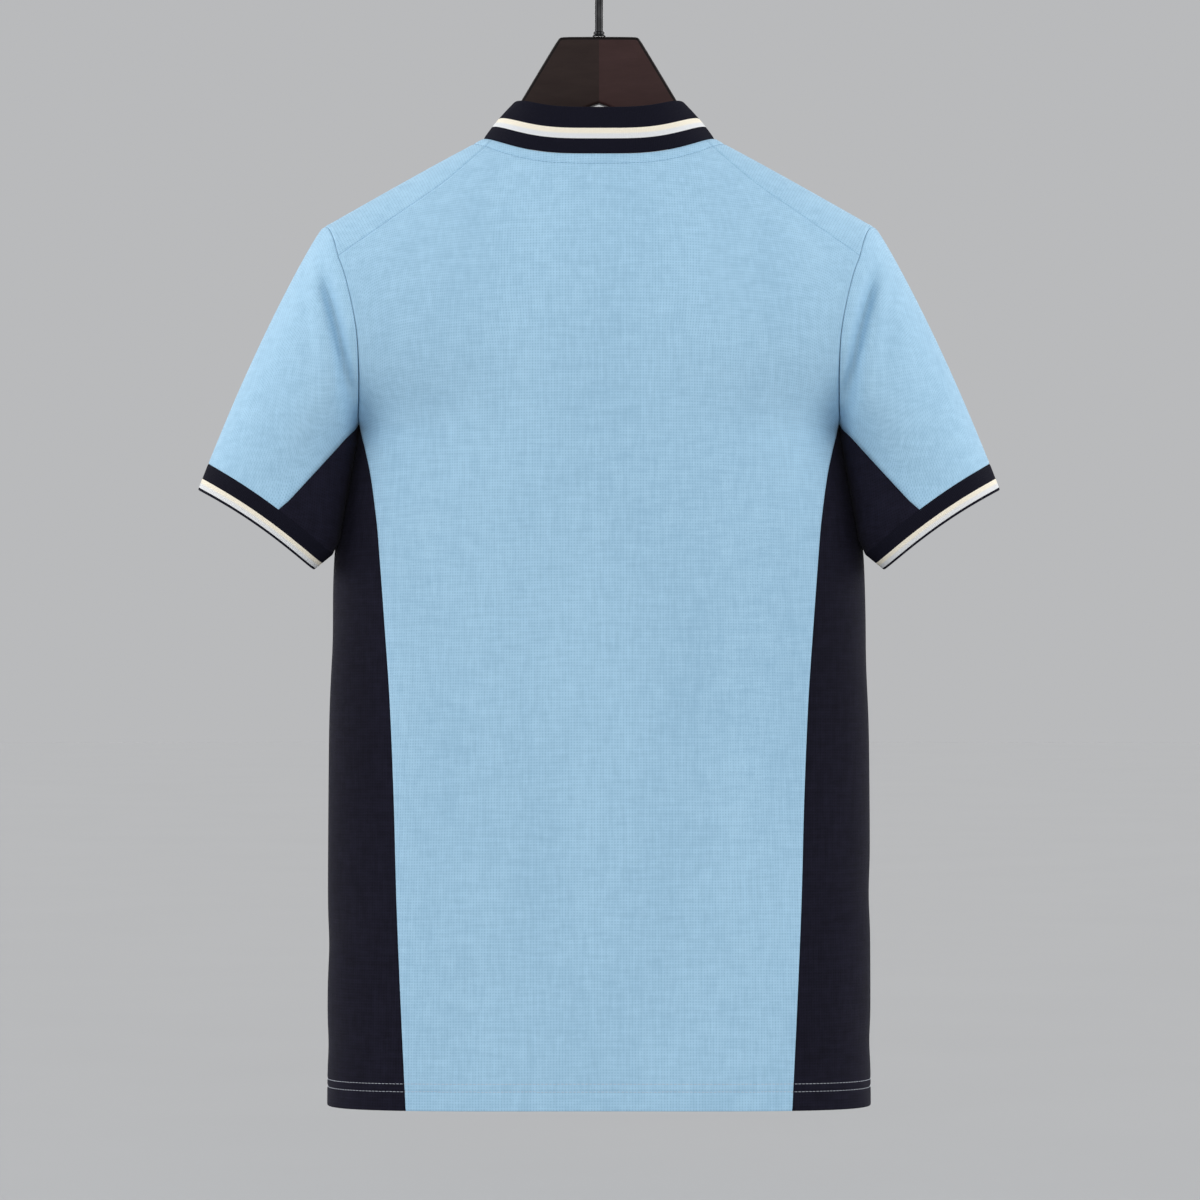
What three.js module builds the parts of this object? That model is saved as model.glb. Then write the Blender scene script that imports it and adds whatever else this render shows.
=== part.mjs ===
// A short-sleeved football jersey, filled out with no wearer, on a plain wooden hanger.
// Sizes are in millimetres. +Z is up, the back of the jersey faces +Y and the wearer's left is +X.
// The origin is the hang point, inside the top of the hook.
// Garment heights are measured from the high shoulder point, where the neck seam crosses the ridge.
import * as THREE from 'three';

const HANG_TO_NECK = 155;

const BODY_WALL = 1.5;
const RIB_WALL = 2.4;
const SEAM_GAP = 0.3;

// The torso is a rounded tube below and closes over the shoulder ridge above.
const ROUNDNESS = 2.3;
const SHOULDER_FALL = 180;
const RIDGE_APEX = 56.3;
const RIDGE_SLOPE = 0.585;
const RIDGE_ROUNDING = 45;
const ARMPIT = -212;
const CORNER_TURN = THREE.MathUtils.degToRad(84);

// Half width of the torso at its side. Above the armpit the side is open and the tube widens.
const SIDE = [
  { height: -711, half: 200.2 },
  { height: -450, half: 199 },
  { height: -354, half: 196.5 },
  { height: -306, half: 194.8 },
  { height: -280, half: 191.7 },
  { height: -258, half: 187.2 },
  { height: -240, half: 183.5 },
  { height: -225, half: 180.2 },
  { height: -212, half: 178 },
  { height: -194, half: 193 },
  { height: -173, half: 235 },
  { height: -144, half: 325 },
  { height: -110, half: 470 },
  { height: -60, half: 700 },
];

// Depth of the back and of the front from the side line.
const DEPTH = [
  { height: -711, back: 84, front: 88 },
  { height: -500, back: 82, front: 88 },
  { height: -260, back: 90, front: 98 },
  { height: -100, back: 90, front: 98 },
];

// Half width of the back and front panels: side seams up to the armpit, then the armhole.
const PANEL_EDGE = [
  { height: -711, half: 140 },
  { height: -629, half: 144 },
  { height: -557, half: 147 },
  { height: -484, half: 149 },
  { height: -412, half: 152 },
  { height: -354, half: 156 },
  { height: -307, half: 159.5 },
  { height: -284, half: 161.5 },
  { height: -249, half: 166.5 },
  { height: -229, half: 171.2 },
  { height: -210, half: 176.2 },
  { height: -194, half: 174.8 },
  { height: -173, half: 173.9 },
  { height: -144, half: 175.3 },
  { height: -110, half: 182.4 },
  { height: -89.5, half: 189.7 },
  { height: -65.5, half: 203.2 },
];
const HEM = { middle: -707.5, side: -711 };
const TIP_RIDGE = { half: 203.2, height: -65.5 };
const TIP_SEAM = { half: 189.7, height: -89.5 };

// The neck seam: its half width, how far round from the ridge it goes behind and in front, in degrees,
// how late it drops, and how far along it behind the shoulder seam ends.
const NECK = { half: 85, back: 41.8, front: 69.5, late: 1.12, seamEnd: 23.5 };
const SEAM_END = THREE.MathUtils.degToRad(NECK.seamEnd);

// The shoulder seam lies behind the ridge: how far round from the ridge it is, by half width.
const SHOULDER_SEAM = [
  { half: NECK.half * Math.cos(SEAM_END), turn: NECK.back * Math.sin(SEAM_END) ** NECK.late },
  { half: 87, turn: 19.8 },
  { half: 112, turn: 27.0 },
  { half: 150, turn: 31.0 },
  { half: 189.7, turn: 34.4 },
];
const COLLAR = { height: 35, bow: 1.2, side: [-23, 0, 27], back: [0, -6, 34.4], front: [0, 18, 30] };

// The cuff seam and the cuff's end: outer and inner points of each loop in the plane of the jersey.
const CUFF_SEAM = { outer: [287.7, -239.1], inner: [197.2, -305.6], depth: 55, arch: 4 };
const CUFF_END = { outer: [295.2, -258.5], inner: [208.8, -317.4], depth: 51.5, arch: 4 };
const GUSSET_AT_CUFF = THREE.MathUtils.degToRad(94.6);
const SLEEVE_CROWN = 5.5;

// The inner line of the sleeve lies this far behind the body's widest line and draws in beside it.
const SLEEVE_LEAN = { back: 24, within: 0.18, inward: 2.4, from: 0.09 };

// Shares up the body and along the sleeve, closer near the armhole.
const BODY_ROWS = [0, 0.11, 0.22, 0.33, 0.44, 0.54, 0.63, 0.71, 0.78, 0.84, 0.89, 0.93, 0.965, 1];
const SLEEVE_ROWS = [0, 0.035, 0.075, 0.12, 0.17, 0.24, 0.33, 0.44, 0.57, 0.7, 0.84, 1];

// Soft troughs in the left sleeve: foot and head of each, its sideways bow, its width and its depth.
const SLEEVE_FOLDS = [
  { face: 1, foot: [179.5, -216], head: [206, -84], bow: -5, width: 6, depth: 7 },
  { face: 1, foot: [204, -200], head: [213, -94], bow: 2, width: 7, depth: 1.5 },
  { face: -1, foot: [180, -216], head: [204, -88], bow: -4, width: 7, depth: 5.5 },
  { face: -1, foot: [208, -206], head: [219, -112], bow: 3, width: 8, depth: 1.8 },
];

// Broad soft troughs in the body: foot and head of each, its width and its depth. They fade at the seams.
const FOLD_FADE = 25;
const BODY_FOLDS = [
  { face: 1, foot: [136, -560], head: [100, -120], width: 26, depth: 2.0 },
  { face: 1, foot: [-140, -520], head: [-108, -130], width: 24, depth: 1.8 },
  { face: 1, foot: [12, -700], head: [4, -170], width: 40, depth: 1.8 },
  { face: 1, foot: [-60, -700], head: [-84, -440], width: 30, depth: 1.2 },
  { face: -1, foot: [112, -600], head: [124, -190], width: 30, depth: 2.8 },
  { face: -1, foot: [-98, -650], head: [-130, -200], width: 30, depth: 2.4 },
  { face: -1, foot: [20, -690], head: [-30, -300], width: 36, depth: 2.0 },
];

// The wooden hanger: its sloping neck, then stations of its underside, thickness and bevel.
const WOOD_TOP = { height: 75, half: 29.2, slope: 0.597, round: 2.4 };
const HANGER = [
  { half: 0, under: 25.8, thick: 14, bevel: 2 },
  { half: 9, under: 22.6, thick: 14, bevel: 2 },
  { half: 30, under: 12, thick: 14, bevel: 2 },
  { half: 60, under: -10, thick: 15, bevel: 2.2 },
  { half: 90, under: -34, thick: 18, bevel: 3 },
  { half: 130, under: -56, thick: 26, bevel: 5 },
  { half: 187, under: -85, thick: 38, bevel: 8 },
];
const HANGER_CLEARANCE = 1.2;
const WIRE = 6.4;
const HOOK_RADIUS = 21;
const FERRULE = { height: 4, foot: 9.9, top: 8.6 };

// How finely each stretch is divided.
const STEPS = { armholeBack: 7, armholeFront: 11, strip: 4, shoulder: 7, neck: 6, side: 6,
  cuff: 3, collar: 4 };

const PAINT = {
  sky: { color: 0x9cc4e0, roughness: 0.85 },
  navy: { color: 0x1f2030, roughness: 0.9 },
  wood: { color: 0x3a2826, roughness: 0.35 },
  steel: { color: 0xc8c8cc, roughness: 0.2, metalness: 1 },
};

// Smooth curve through the rows of a table, held level past its ends.
function curve(table, key, value, at) {
  const last = table.length - 1;
  if (at <= table[0][key]) return table[0][value];
  if (at >= table[last][key]) return table[last][value];
  let i = 0;
  while (at > table[i + 1][key]) i += 1;
  const slope = (a, b) => (table[b][value] - table[a][value]) / (table[b][key] - table[a][key]);
  const bend = (j) => (j === 0 ? slope(0, 1) : j === last ? slope(last - 1, last) : slope(j - 1, j + 1));
  const width = table[i + 1][key] - table[i][key];
  const t = (at - table[i][key]) / width;
  const rise = table[i + 1][value] - table[i][value];
  const cubic = t * t * (3 - 2 * t);
  const start = t * (1 - t) * (1 - t) * width * bend(i);
  const end = t * t * (t - 1) * width * bend(i + 1);
  return table[i][value] + rise * cubic + start + end;
}

const ramp = (t) => {
  const s = Math.min(Math.max(t, 0), 1);
  return s * s * (3 - 2 * s);
};
const mix = (a, b, t) => a + (b - a) * t;
const range = (count) => Array.from({ length: count + 1 }, (_, i) => i / count);

const ridge = (x) => RIDGE_APEX - RIDGE_SLOPE * Math.hypot(x, RIDGE_ROUNDING);
const sideAt = (z) => curve(SIDE, 'height', 'half', z);
const edgeAt = (z, top) => curve(PANEL_EDGE, 'height', 'half', Math.min(z, top));
const depthAt = (z, face) => curve(DEPTH, 'height', face > 0 ? 'back' : 'front', z);

// How much of its depth the torso has at a distance below the shoulder ridge.
function shoulderFill(x, z) {
  const share = Math.min(Math.max((ridge(x) - z) / SHOULDER_FALL, 0), 1);
  return Math.sqrt(1 - (1 - share) ** 2);
}

// How deep the soft troughs of one face are at a point.
function foldDepth(folds, x, z, face) {
  let depth = 0;
  for (const fold of folds.filter((row) => row.face === face)) {
    const along = (z - fold.foot[1]) / (fold.head[1] - fold.foot[1]);
    const line = mix(fold.foot[0], fold.head[0], along) + 4 * (fold.bow ?? 0) * along * (1 - along);
    const off = (x - line) / fold.width;
    const fade = ramp(along / 0.3) * ramp((1 - along) / 0.3);
    depth += fold.depth * fade * Math.exp(-off * off);
  }
  return depth;
}

// The torso's surface on the back (face 1) or the front (face -1).
function torso(x, z, face) {
  const share = Math.min(Math.abs(x) / sideAt(z), 1);
  const full = depthAt(z, face) * (1 - share ** ROUNDNESS) ** (1 / ROUNDNESS);
  const fold = foldDepth(BODY_FOLDS, x, z, face) * ramp((edgeAt(z, TIP_RIDGE.height) - Math.abs(x)) / FOLD_FADE);
  return new THREE.Vector3(x, face * (full - fold) * shoulderFill(x, z), z);
}

// A point of a panel by its share of the panel's half width and its turn down from the ridge.
function panelPoint(share, turn, top) {
  const face = turn < 0 ? -1 : 1;
  let z = top;
  for (let i = 0; i < 30; i += 1) {
    z = ridge(share * edgeAt(z, top)) - SHOULDER_FALL * (1 - Math.cos(turn));
  }
  return torso(share * edgeAt(z, top), z, face);
}

const hemAt = (x) => mix(HEM.middle, HEM.side, (x / SIDE[0].half) ** 2);

// The neck seam behind (face 1) and in front (face -1), from the ridge (0) to the centre (90 degrees).
function neck(sweep, face) {
  const x = NECK.half * Math.cos(sweep);
  const turn = THREE.MathUtils.degToRad(face > 0 ? NECK.back : NECK.front) * Math.sin(sweep) ** NECK.late;
  return torso(x, ridge(x) - SHOULDER_FALL * (1 - Math.cos(turn)), face);
}

const neckSweeps = (from, count) => range(count).map((t) => mix(from, Math.PI / 2, t));
const mirrored = (p) => new THREE.Vector3(-p.x, p.y, p.z);

const onRidge = (x, turn) => torso(x, ridge(x) - SHOULDER_FALL * (1 - Math.cos(turn)), 1);
const turnOf = (p) => Math.acos(Math.min(1 - (ridge(p.x) - p.z) / SHOULDER_FALL, 1));

// The shoulder seam's points on one side, from the neck to the armhole.
function seamPoint(t) {
  const x = mix(SHOULDER_SEAM[0].half, TIP_SEAM.half, t);
  return onRidge(x, THREE.MathUtils.degToRad(curve(SHOULDER_SEAM, 'half', 'turn', x)));
}

// The strip of the front panel that goes over the ridge to the shoulder seam behind it. Its inner edge
// follows the neck seam.
function stripPoint(t, over) {
  const [inner, first, seam] = [neck(SEAM_END * over, 1), seamPoint(0), seamPoint(t)];
  const shift = inner.x - mix(NECK.half, first.x, over);
  const extraTurn = turnOf(inner) - over * turnOf(first);
  const x = mix(mix(NECK.half, TIP_RIDGE.half, t), seam.x, over) + shift * (1 - t);
  return onRidge(x, over * turnOf(seam) + extraTurn * (1 - t));
}

// One column of a panel, from the hem up to the armpit level and on to its end point, where it has
// drawn in from its low share of the panel's half width to its high share.
function column({ low, high, end }, side, face, top, rows) {
  const corner = panelPoint(side * low, face * CORNER_TURN, top);
  const below = BODY_ROWS.map((t) => {
    const z = mix(hemAt(low * PANEL_EDGE[0].half), corner.z, t);
    return torso(side * low * edgeAt(z, top), z, face);
  });
  const above = range(rows).slice(1)
    .map((t) => panelPoint(side * mix(low, high, t * t), face * mix(CORNER_TURN, end, t), top));
  return [...below, ...above];
}

// Both halves of a panel, from the points of its neck seam, centre first, and of its shoulder.
function panelGrid(necks, shoulders, face, top, rows) {
  const share = (p) => p.x / edgeAt(p.z, top);
  const neckShare = share(necks[necks.length - 1]);
  const columns = necks.map((p, i) => ({
    low: (neckShare * i) / (necks.length - 1), high: share(p), end: turnOf(p) }));
  columns.push(...shoulders.map((p) => ({ low: share(p), high: share(p), end: turnOf(p) })));
  const half = columns.map((line) => column(line, 1, face, top, rows));
  const other = columns.slice(1).reverse().map((line) => column(line, -1, face, top, rows));
  return [...other, ...half];
}

function backPanel() {
  const necks = neckSweeps(SEAM_END, STEPS.neck).reverse().map((sweep) => neck(sweep, 1));
  const shoulders = range(STEPS.shoulder).slice(1).map(seamPoint);
  return [panelGrid(necks, shoulders, 1, TIP_SEAM.height, STEPS.armholeBack)];
}

function frontPanel() {
  const necks = neckSweeps(0, STEPS.neck + 2).reverse().map((sweep) => neck(sweep, -1));
  const strip = range(STEPS.shoulder).map((t) => range(STEPS.strip).map((over) => stripPoint(t, over)));
  const shoulders = strip.slice(1).map((line) => line[0]);
  const main = panelGrid(necks, shoulders, -1, TIP_RIDGE.height, STEPS.armholeFront);
  return [main, strip, strip.map((line) => line.map(mirrored))];
}

// The side panel's section runs from the back seam (1) round the side (0) to the front seam (-1).
function sidePoint(around, z) {
  const half = sideAt(z);
  const seam = Math.acos(Math.min((edgeAt(z, ARMPIT + 4) / half) ** (ROUNDNESS / 2), 1));
  const x = half * Math.cos(around * seam) ** (2 / ROUNDNESS);
  const face = around < 0 ? -1 : 1;
  return torso(Math.abs(around) === 1 ? edgeAt(z, ARMPIT + 4) : x, z, face);
}

const cornerHeight = (face) => panelPoint(1, face * CORNER_TURN, TIP_SEAM.height).z;
const armpitAt = (around) => mix(ARMPIT, cornerHeight(around < 0 ? -1 : 1), around * around);

function sidePanel() {
  const arounds = range(STEPS.side).map((t) => 1 - 2 * t);
  return [arounds.map((around) => {
    const foot = hemAt(sidePoint(around, HEM.side).x);
    return BODY_ROWS.map((t) => sidePoint(around, mix(foot, armpitAt(around), t)));
  })];
}

// The armhole of the left sleeve as points, from the ridge back, down, under the arm and up the front.
function armhole() {
  const strip = range(STEPS.strip).map((over) => stripPoint(1, over));
  const seamTurn = turnOf(seamPoint(1));
  const back = range(STEPS.armholeBack).slice(1)
    .map((t) => panelPoint(1, mix(seamTurn, CORNER_TURN, t), TIP_SEAM.height));
  const under = range(STEPS.side).slice(1, -1).map((t) => sidePoint(1 - 2 * t, armpitAt(1 - 2 * t)));
  const front = range(STEPS.armholeFront)
    .map((t) => panelPoint(1, -mix(CORNER_TURN, 0, t), TIP_RIDGE.height));
  return { top: [...strip, ...back], under, front };
}

// A loop of the cuff: turn 0 is its outer point, 90 degrees its back and 180 its inner point.
function cuffLoop(loop, turn) {
  const share = (1 + Math.cos(turn)) / 2;
  const [dx, dz] = [loop.outer[0] - loop.inner[0], loop.outer[1] - loop.inner[1]];
  const lift = (loop.arch * Math.sin(turn) ** 2) / Math.hypot(dx, dz);
  return new THREE.Vector3(
    mix(loop.inner[0], loop.outer[0], share) - lift * dz,
    loop.depth * Math.sin(turn) + SLEEVE_LEAN.back * (1 - share) ** 2,
    mix(loop.inner[1], loop.outer[1], share) + lift * dx,
  );
}

// Share of the way along a run of points at each of them.
function shares(points) {
  const sums = [0];
  for (let i = 1; i < points.length; i += 1) sums.push(sums[i - 1] + points[i].distanceTo(points[i - 1]));
  return sums.map((sum) => sum / sums[sums.length - 1]);
}

const AXIS = { top: new THREE.Vector3(182, 0, -135), cuff: new THREE.Vector3(242, 0, -272) };

// A line of the sleeve from an armhole point to its cuff seam point, crowned, leaning and with its troughs.
function sleeveLine(from, to, round, face) {
  return SLEEVE_ROWS.map((t) => {
    const p = from.clone().lerp(to, t);
    const out = p.clone().sub(AXIS.top.clone().lerp(AXIS.cuff, t)).normalize();
    const crown = SLEEVE_CROWN * (1 - round) * t ** 0.4 * (1 - t) / 0.433;
    const trough = foldDepth(SLEEVE_FOLDS, p.x, p.z, face) * ramp(t / 0.06) * ramp((1 - round) / 0.12);
    p.addScaledVector(out, crown);
    p.x -= SLEEVE_LEAN.inward * round ** 8 * ramp((t - SLEEVE_LEAN.from) / 0.1) * ramp((1 - t) / 0.12);
    p.y += SLEEVE_LEAN.back * round ** 4 * (ramp(t / SLEEVE_LEAN.within) - t);
    p.y -= face * trough;
    return p;
  });
}

function sleeve() {
  const { top, under, front } = armhole();
  const backShares = shares([...top, ...under.slice(0, (under.length + 1) / 2)]);
  const frontRun = [...under.slice((under.length - 1) / 2), ...front].reverse();
  const frontShares = shares(frontRun);
  const upFront = [...front].reverse();
  const backEnd = backShares[top.length - 1];
  const frontEnd = frontShares[upFront.length - 1];
  const back = top.map((p, i) => {
    const turn = (backShares[i] / backEnd) * GUSSET_AT_CUFF;
    return sleeveLine(p, cuffLoop(CUFF_SEAM, turn), backShares[i], 1);
  });
  const ahead = upFront.map((p, i) => {
    const turn = -(frontShares[i] / frontEnd) * GUSSET_AT_CUFF;
    return sleeveLine(p, cuffLoop(CUFF_SEAM, turn), frontShares[i], -1);
  });
  const bottom = [top[top.length - 1], ...under, front[0]];
  const gusset = bottom.map((p, i) => {
    const t = i / (bottom.length - 1);
    const turn = mix(GUSSET_AT_CUFF, 2 * Math.PI - GUSSET_AT_CUFF, t);
    const round = t < 0.5 ? mix(backEnd, 1, 2 * t) : mix(1, frontEnd, 2 * t - 1);
    return sleeveLine(p, cuffLoop(CUFF_SEAM, turn), round, t < 0.5 ? 1 : -1);
  });
  const seamTurns = {
    back: top.map((p, i) => (backShares[i] / backEnd) * GUSSET_AT_CUFF),
    under: bottom.map((p, i) => mix(GUSSET_AT_CUFF, 2 * Math.PI - GUSSET_AT_CUFF, i / (bottom.length - 1))),
    front: upFront.map((p, i) => 2 * Math.PI - (frontShares[i] / frontEnd) * GUSSET_AT_CUFF),
  };
  const turns = [...seamTurns.back, ...seamTurns.under.slice(1), ...seamTurns.front.reverse().slice(1)];
  const cuff = turns.map((turn) => range(STEPS.cuff)
    .map((t) => cuffLoop(CUFF_SEAM, turn).lerp(cuffLoop(CUFF_END, turn), t)));
  return { main: [[...ahead.slice(1).reverse(), ...back]], gusset: [gusset], cuff: [cuff] };
}

// The collar stands on the neck seam and leans in at the sides and the front.
function collar() {
  const direction = (sweep, face) => {
    const side = new THREE.Vector3(...COLLAR.side).normalize();
    const middle = new THREE.Vector3(...(face > 0 ? COLLAR.back : COLLAR.front)).normalize();
    return side.multiplyScalar(Math.cos(sweep) ** 2).addScaledVector(middle, Math.sin(sweep) ** 2).normalize();
  };
  const line = (sweep, face) => {
    const foot = neck(sweep, face);
    const out = new THREE.Vector3(Math.cos(sweep), face * Math.sin(sweep), 0);
    return range(STEPS.collar).map((t) => foot.clone()
      .addScaledVector(direction(sweep, face), COLLAR.height * t)
      .addScaledVector(out, COLLAR.bow * 4 * t * (1 - t)));
  };
  const strip = range(STEPS.strip).map((over) => line(SEAM_END * over, 1));
  const back = neckSweeps(SEAM_END, STEPS.neck).slice(1).map((sweep) => line(sweep, 1));
  const front = neckSweeps(0, STEPS.neck + 2).slice(1).map((sweep) => line(sweep, -1)).reverse();
  const left = [...front, ...strip, ...back];
  const right = left.slice(1, -1).reverse().map((run) => run.map(mirrored));
  return [[...left, ...right, left[0]]];
}

function faceNormal(points, [a, b, c]) {
  return points[b].clone().sub(points[a]).cross(points[c].clone().sub(points[a]));
}

// A sheet of cloth gathers grids of outer points, joined where they share a point. Each grid's faces
// are turned to look away from the centre line.
function sheet(grids, centre, family, mirror = false) {
  const points = [];
  const found = new Map();
  const index = (p) => {
    const q = mirror ? mirrored(p) : p;
    const key = [q.x, q.y, q.z].map((v) => Math.round(v * 1000)).join();
    if (!found.has(key)) found.set(key, points.push(q.clone()) - 1);
    return found.get(key);
  };
  const faces = [];
  for (const grid of grids) {
    const cells = [];
    for (let i = 0; i + 1 < grid.length; i += 1) {
      for (let j = 0; j + 1 < grid[i].length; j += 1) {
        const [a, b] = [index(grid[i][j]), index(grid[i + 1][j])];
        const [c, d] = [index(grid[i + 1][j + 1]), index(grid[i][j + 1])];
        cells.push(...[[a, b, c], [a, c, d]].filter((face) => new Set(face).size === 3));
      }
    }
    const away = cells.reduce((sum, face) => {
      const middle = points[face[0]].clone().add(points[face[1]]).add(points[face[2]]).divideScalar(3);
      return sum + faceNormal(points, face).dot(middle.clone().sub(centre(middle)));
    }, 0);
    faces.push(...cells.map(([a, b, c]) => (away < 0 ? [a, c, b] : [a, b, c])));
  }
  const normals = points.map(() => new THREE.Vector3());
  for (const face of faces) {
    const normal = faceNormal(points, face);
    face.forEach((i) => normals[i].add(normal));
  }
  return { points, faces, family, normals: normals.map((normal) => normal.normalize()) };
}

// Edges that belong to one face only, in that face's order.
function rim(faces) {
  const edges = new Map();
  for (const [a, b, c] of faces) {
    for (const [from, to] of [[a, b], [b, c], [c, a]]) {
      if (!edges.delete(`${to},${from}`)) edges.set(`${from},${to}`, [from, to]);
    }
  }
  return [...edges.values()];
}

// Normals that meet at a seam are shared, so that both walls end on one plane there. Where an arm or the
// collar folds right back on the torso, each of the two keeps its own.
function shareNormals(cloths) {
  const ends = [];
  for (const cloth of cloths) {
    cloth.rim = rim(cloth.faces);
    cloth.seamNormals = cloth.normals.map((normal) => normal.clone());
    for (const i of new Set(cloth.rim.flat())) {
      ends.push({ point: cloth.points[i], normal: cloth.normals[i], cloth, i });
    }
  }
  const total = (list) => list.reduce((sum, end) => sum.add(end.normal), new THREE.Vector3()).normalize();
  for (const end of ends) {
    const meeting = ends.filter((other) => other.point.distanceTo(end.point) < SEAM_GAP / 10);
    const own = total(meeting.filter((other) => other.cloth.family === end.cloth.family));
    const others = meeting.filter((other) => other.cloth.family !== end.cloth.family);
    const across = others.length > 0 ? total(others) : own;
    end.cloth.seamNormals[end.i] = own.dot(across) > 0.1 ? own.add(across).normalize() : own;
  }
}

// A closed wall: the outer points, the same points moved in, and a strip round the rim.
function wall(cloth, thickness) {
  const pull = cloth.points.map(() => new THREE.Vector3());
  for (const [a, b] of cloth.rim) {
    const inward = cloth.normals[a].clone().cross(cloth.points[b].clone().sub(cloth.points[a])).normalize();
    pull[a].add(inward);
    pull[b].add(inward);
  }
  const outer = cloth.points.map((p, i) => p.clone().addScaledVector(pull[i].normalize(), SEAM_GAP / 2));
  const inner = outer.map((p, i) => p.clone().addScaledVector(cloth.seamNormals[i], -thickness));
  const count = outer.length;
  const triangles = cloth.faces.flatMap(([a, b, c]) => [a, b, c, count + a, count + c, count + b]);
  for (const [a, b] of cloth.rim) triangles.push(b, a, count + a, b, count + a, count + b);
  const geometry = new THREE.BufferGeometry();
  const numbers = [...outer, ...inner].flatMap((p) => [p.x, p.y, p.z]);
  geometry.setAttribute('position', new THREE.Float32BufferAttribute(numbers, 3));
  geometry.setIndex(triangles);
  geometry.computeVertexNormals();
  return geometry;
}

// The hanger's top line: flat, down its sloping neck, then just under the cloth of the shoulders.
function hangerTop(x, flat) {
  const past = (Math.abs(x) - WOOD_TOP.half) / WOOD_TOP.slope;
  const neckLine = WOOD_TOP.height - (past + Math.hypot(past, WOOD_TOP.round)) / 2;
  const round = Math.sqrt(1 - (flat / curve(DEPTH, 'height', 'back', -100)) ** 2);
  const clear = BODY_WALL * 1.16 + SHOULDER_FALL * (1 - round) + HANGER_CLEARANCE;
  return Math.max(neckLine, ridge(Math.max(Math.abs(x), NECK.half + 3)) - clear);
}

function hanger() {
  const end = HANGER[HANGER.length - 1].half;
  const stations = [0, 9, 20, 26, 28, 29.2, 30.4, 33, 40, 50, 60, 70, 77, 88, 98, 110, 125, 140, 155, 170, 180,
    184.5, end];
  const rings = [...stations.slice(1).reverse().map((x) => -x), ...stations].map((x) => {
    const [under, thick, bevel] = ['under', 'thick', 'bevel'].map((name) => curve(HANGER, 'half', name, Math.abs(x)));
    const tip = Math.max((Math.abs(x) - 180) / (end - 180), 0);
    const shrink = Math.sqrt(1 - (0.9 * tip) ** 2);
    const [y, cut] = [(thick / 2) * shrink, bevel * shrink];
    const top = hangerTop(x, thick / 2 - bevel) - 6 * (1 - shrink);
    const low = under + 8 * (1 - shrink);
    return [[y - cut, top], [y, top - cut], [y, low + cut], [y - cut, low],
      [cut - y, low], [-y, low + cut], [-y, top - cut], [cut - y, top]]
      .map(([side, z]) => new THREE.Vector3(x, side, z));
  });
  const count = rings[0].length;
  const triangles = [];
  for (let i = 0; i + 1 < rings.length; i += 1) {
    for (let j = 0; j < count; j += 1) {
      const [a, b] = [i * count + j, i * count + ((j + 1) % count)];
      triangles.push(a, a + count, b + count, a, b + count, b);
    }
  }
  const last = (rings.length - 1) * count;
  for (let j = 1; j + 1 < count; j += 1) triangles.push(0, j, j + 1, last, last + j + 1, last + j);
  const geometry = new THREE.BufferGeometry();
  geometry.setAttribute('position', new THREE.Float32BufferAttribute(rings.flat().flatMap((p) => [p.x, p.y, p.z]), 3));
  geometry.setIndex(triangles);
  geometry.computeVertexNormals();
  return geometry;
}

// The hook rises from the wood, bends to one side and goes round over the hang point.
function hook() {
  const middle = HANG_TO_NECK + WIRE / 2 - HOOK_RADIUS;
  const stem = [WOOD_TOP.height + SEAM_GAP, 90, 100, 108].map((z) => [0, z]);
  const bend = [[1.6, 115.2], [6.2, 121]];
  const arc = range(16).map((t) => {
    const turn = THREE.MathUtils.degToRad(mix(-52, 208, t));
    return [HOOK_RADIUS * Math.cos(turn), middle + HOOK_RADIUS * Math.sin(turn)];
  });
  const path = new THREE.CatmullRomCurve3([...stem, ...bend, ...arc].map(([x, z]) => new THREE.Vector3(x, 0, z)));
  const section = new THREE.Shape(range(10).slice(1).map((t) => new THREE.Vector2(
    (WIRE / 2) * Math.cos(2 * Math.PI * t),
    (WIRE / 2) * Math.sin(2 * Math.PI * t),
  )));
  return new THREE.ExtrudeGeometry(section, { steps: 44, extrudePath: path, bevelEnabled: false });
}

// The flared ring at the foot of the hook.
function ferrule() {
  const foot = WOOD_TOP.height + SEAM_GAP;
  const inside = WIRE / 2 + SEAM_GAP;
  const profile = [[inside, 0], [FERRULE.foot / 2, 0], [FERRULE.foot / 2, 1.2], [FERRULE.top / 2, FERRULE.height],
    [inside, FERRULE.height], [inside, 0]].map(([r, z]) => new THREE.Vector2(r, z));
  const geometry = new THREE.LatheGeometry(profile, 20);
  geometry.rotateX(Math.PI / 2);
  geometry.translate(0, 0, foot);
  return geometry;
}

const jersey = new THREE.Group();
jersey.position.z = -HANG_TO_NECK;

function place(name, geometry, paint) {
  const mesh = new THREE.Mesh(geometry, new THREE.MeshStandardMaterial(PAINT[paint]));
  mesh.name = name;
  jersey.add(mesh);
}

const torsoCentre = (p) => new THREE.Vector3(0, 0, Math.min(p.z, -SHOULDER_FALL));
const neckCentre = (p) => new THREE.Vector3(0, -15, p.z - 8);
function sleeveCentre(p) {
  const line = new THREE.Line3(AXIS.top, AXIS.cuff);
  const near = line.closestPointToPoint(new THREE.Vector3(Math.abs(p.x), p.y, p.z), false, new THREE.Vector3());
  return p.x < 0 ? mirrored(near) : near;
}

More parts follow.
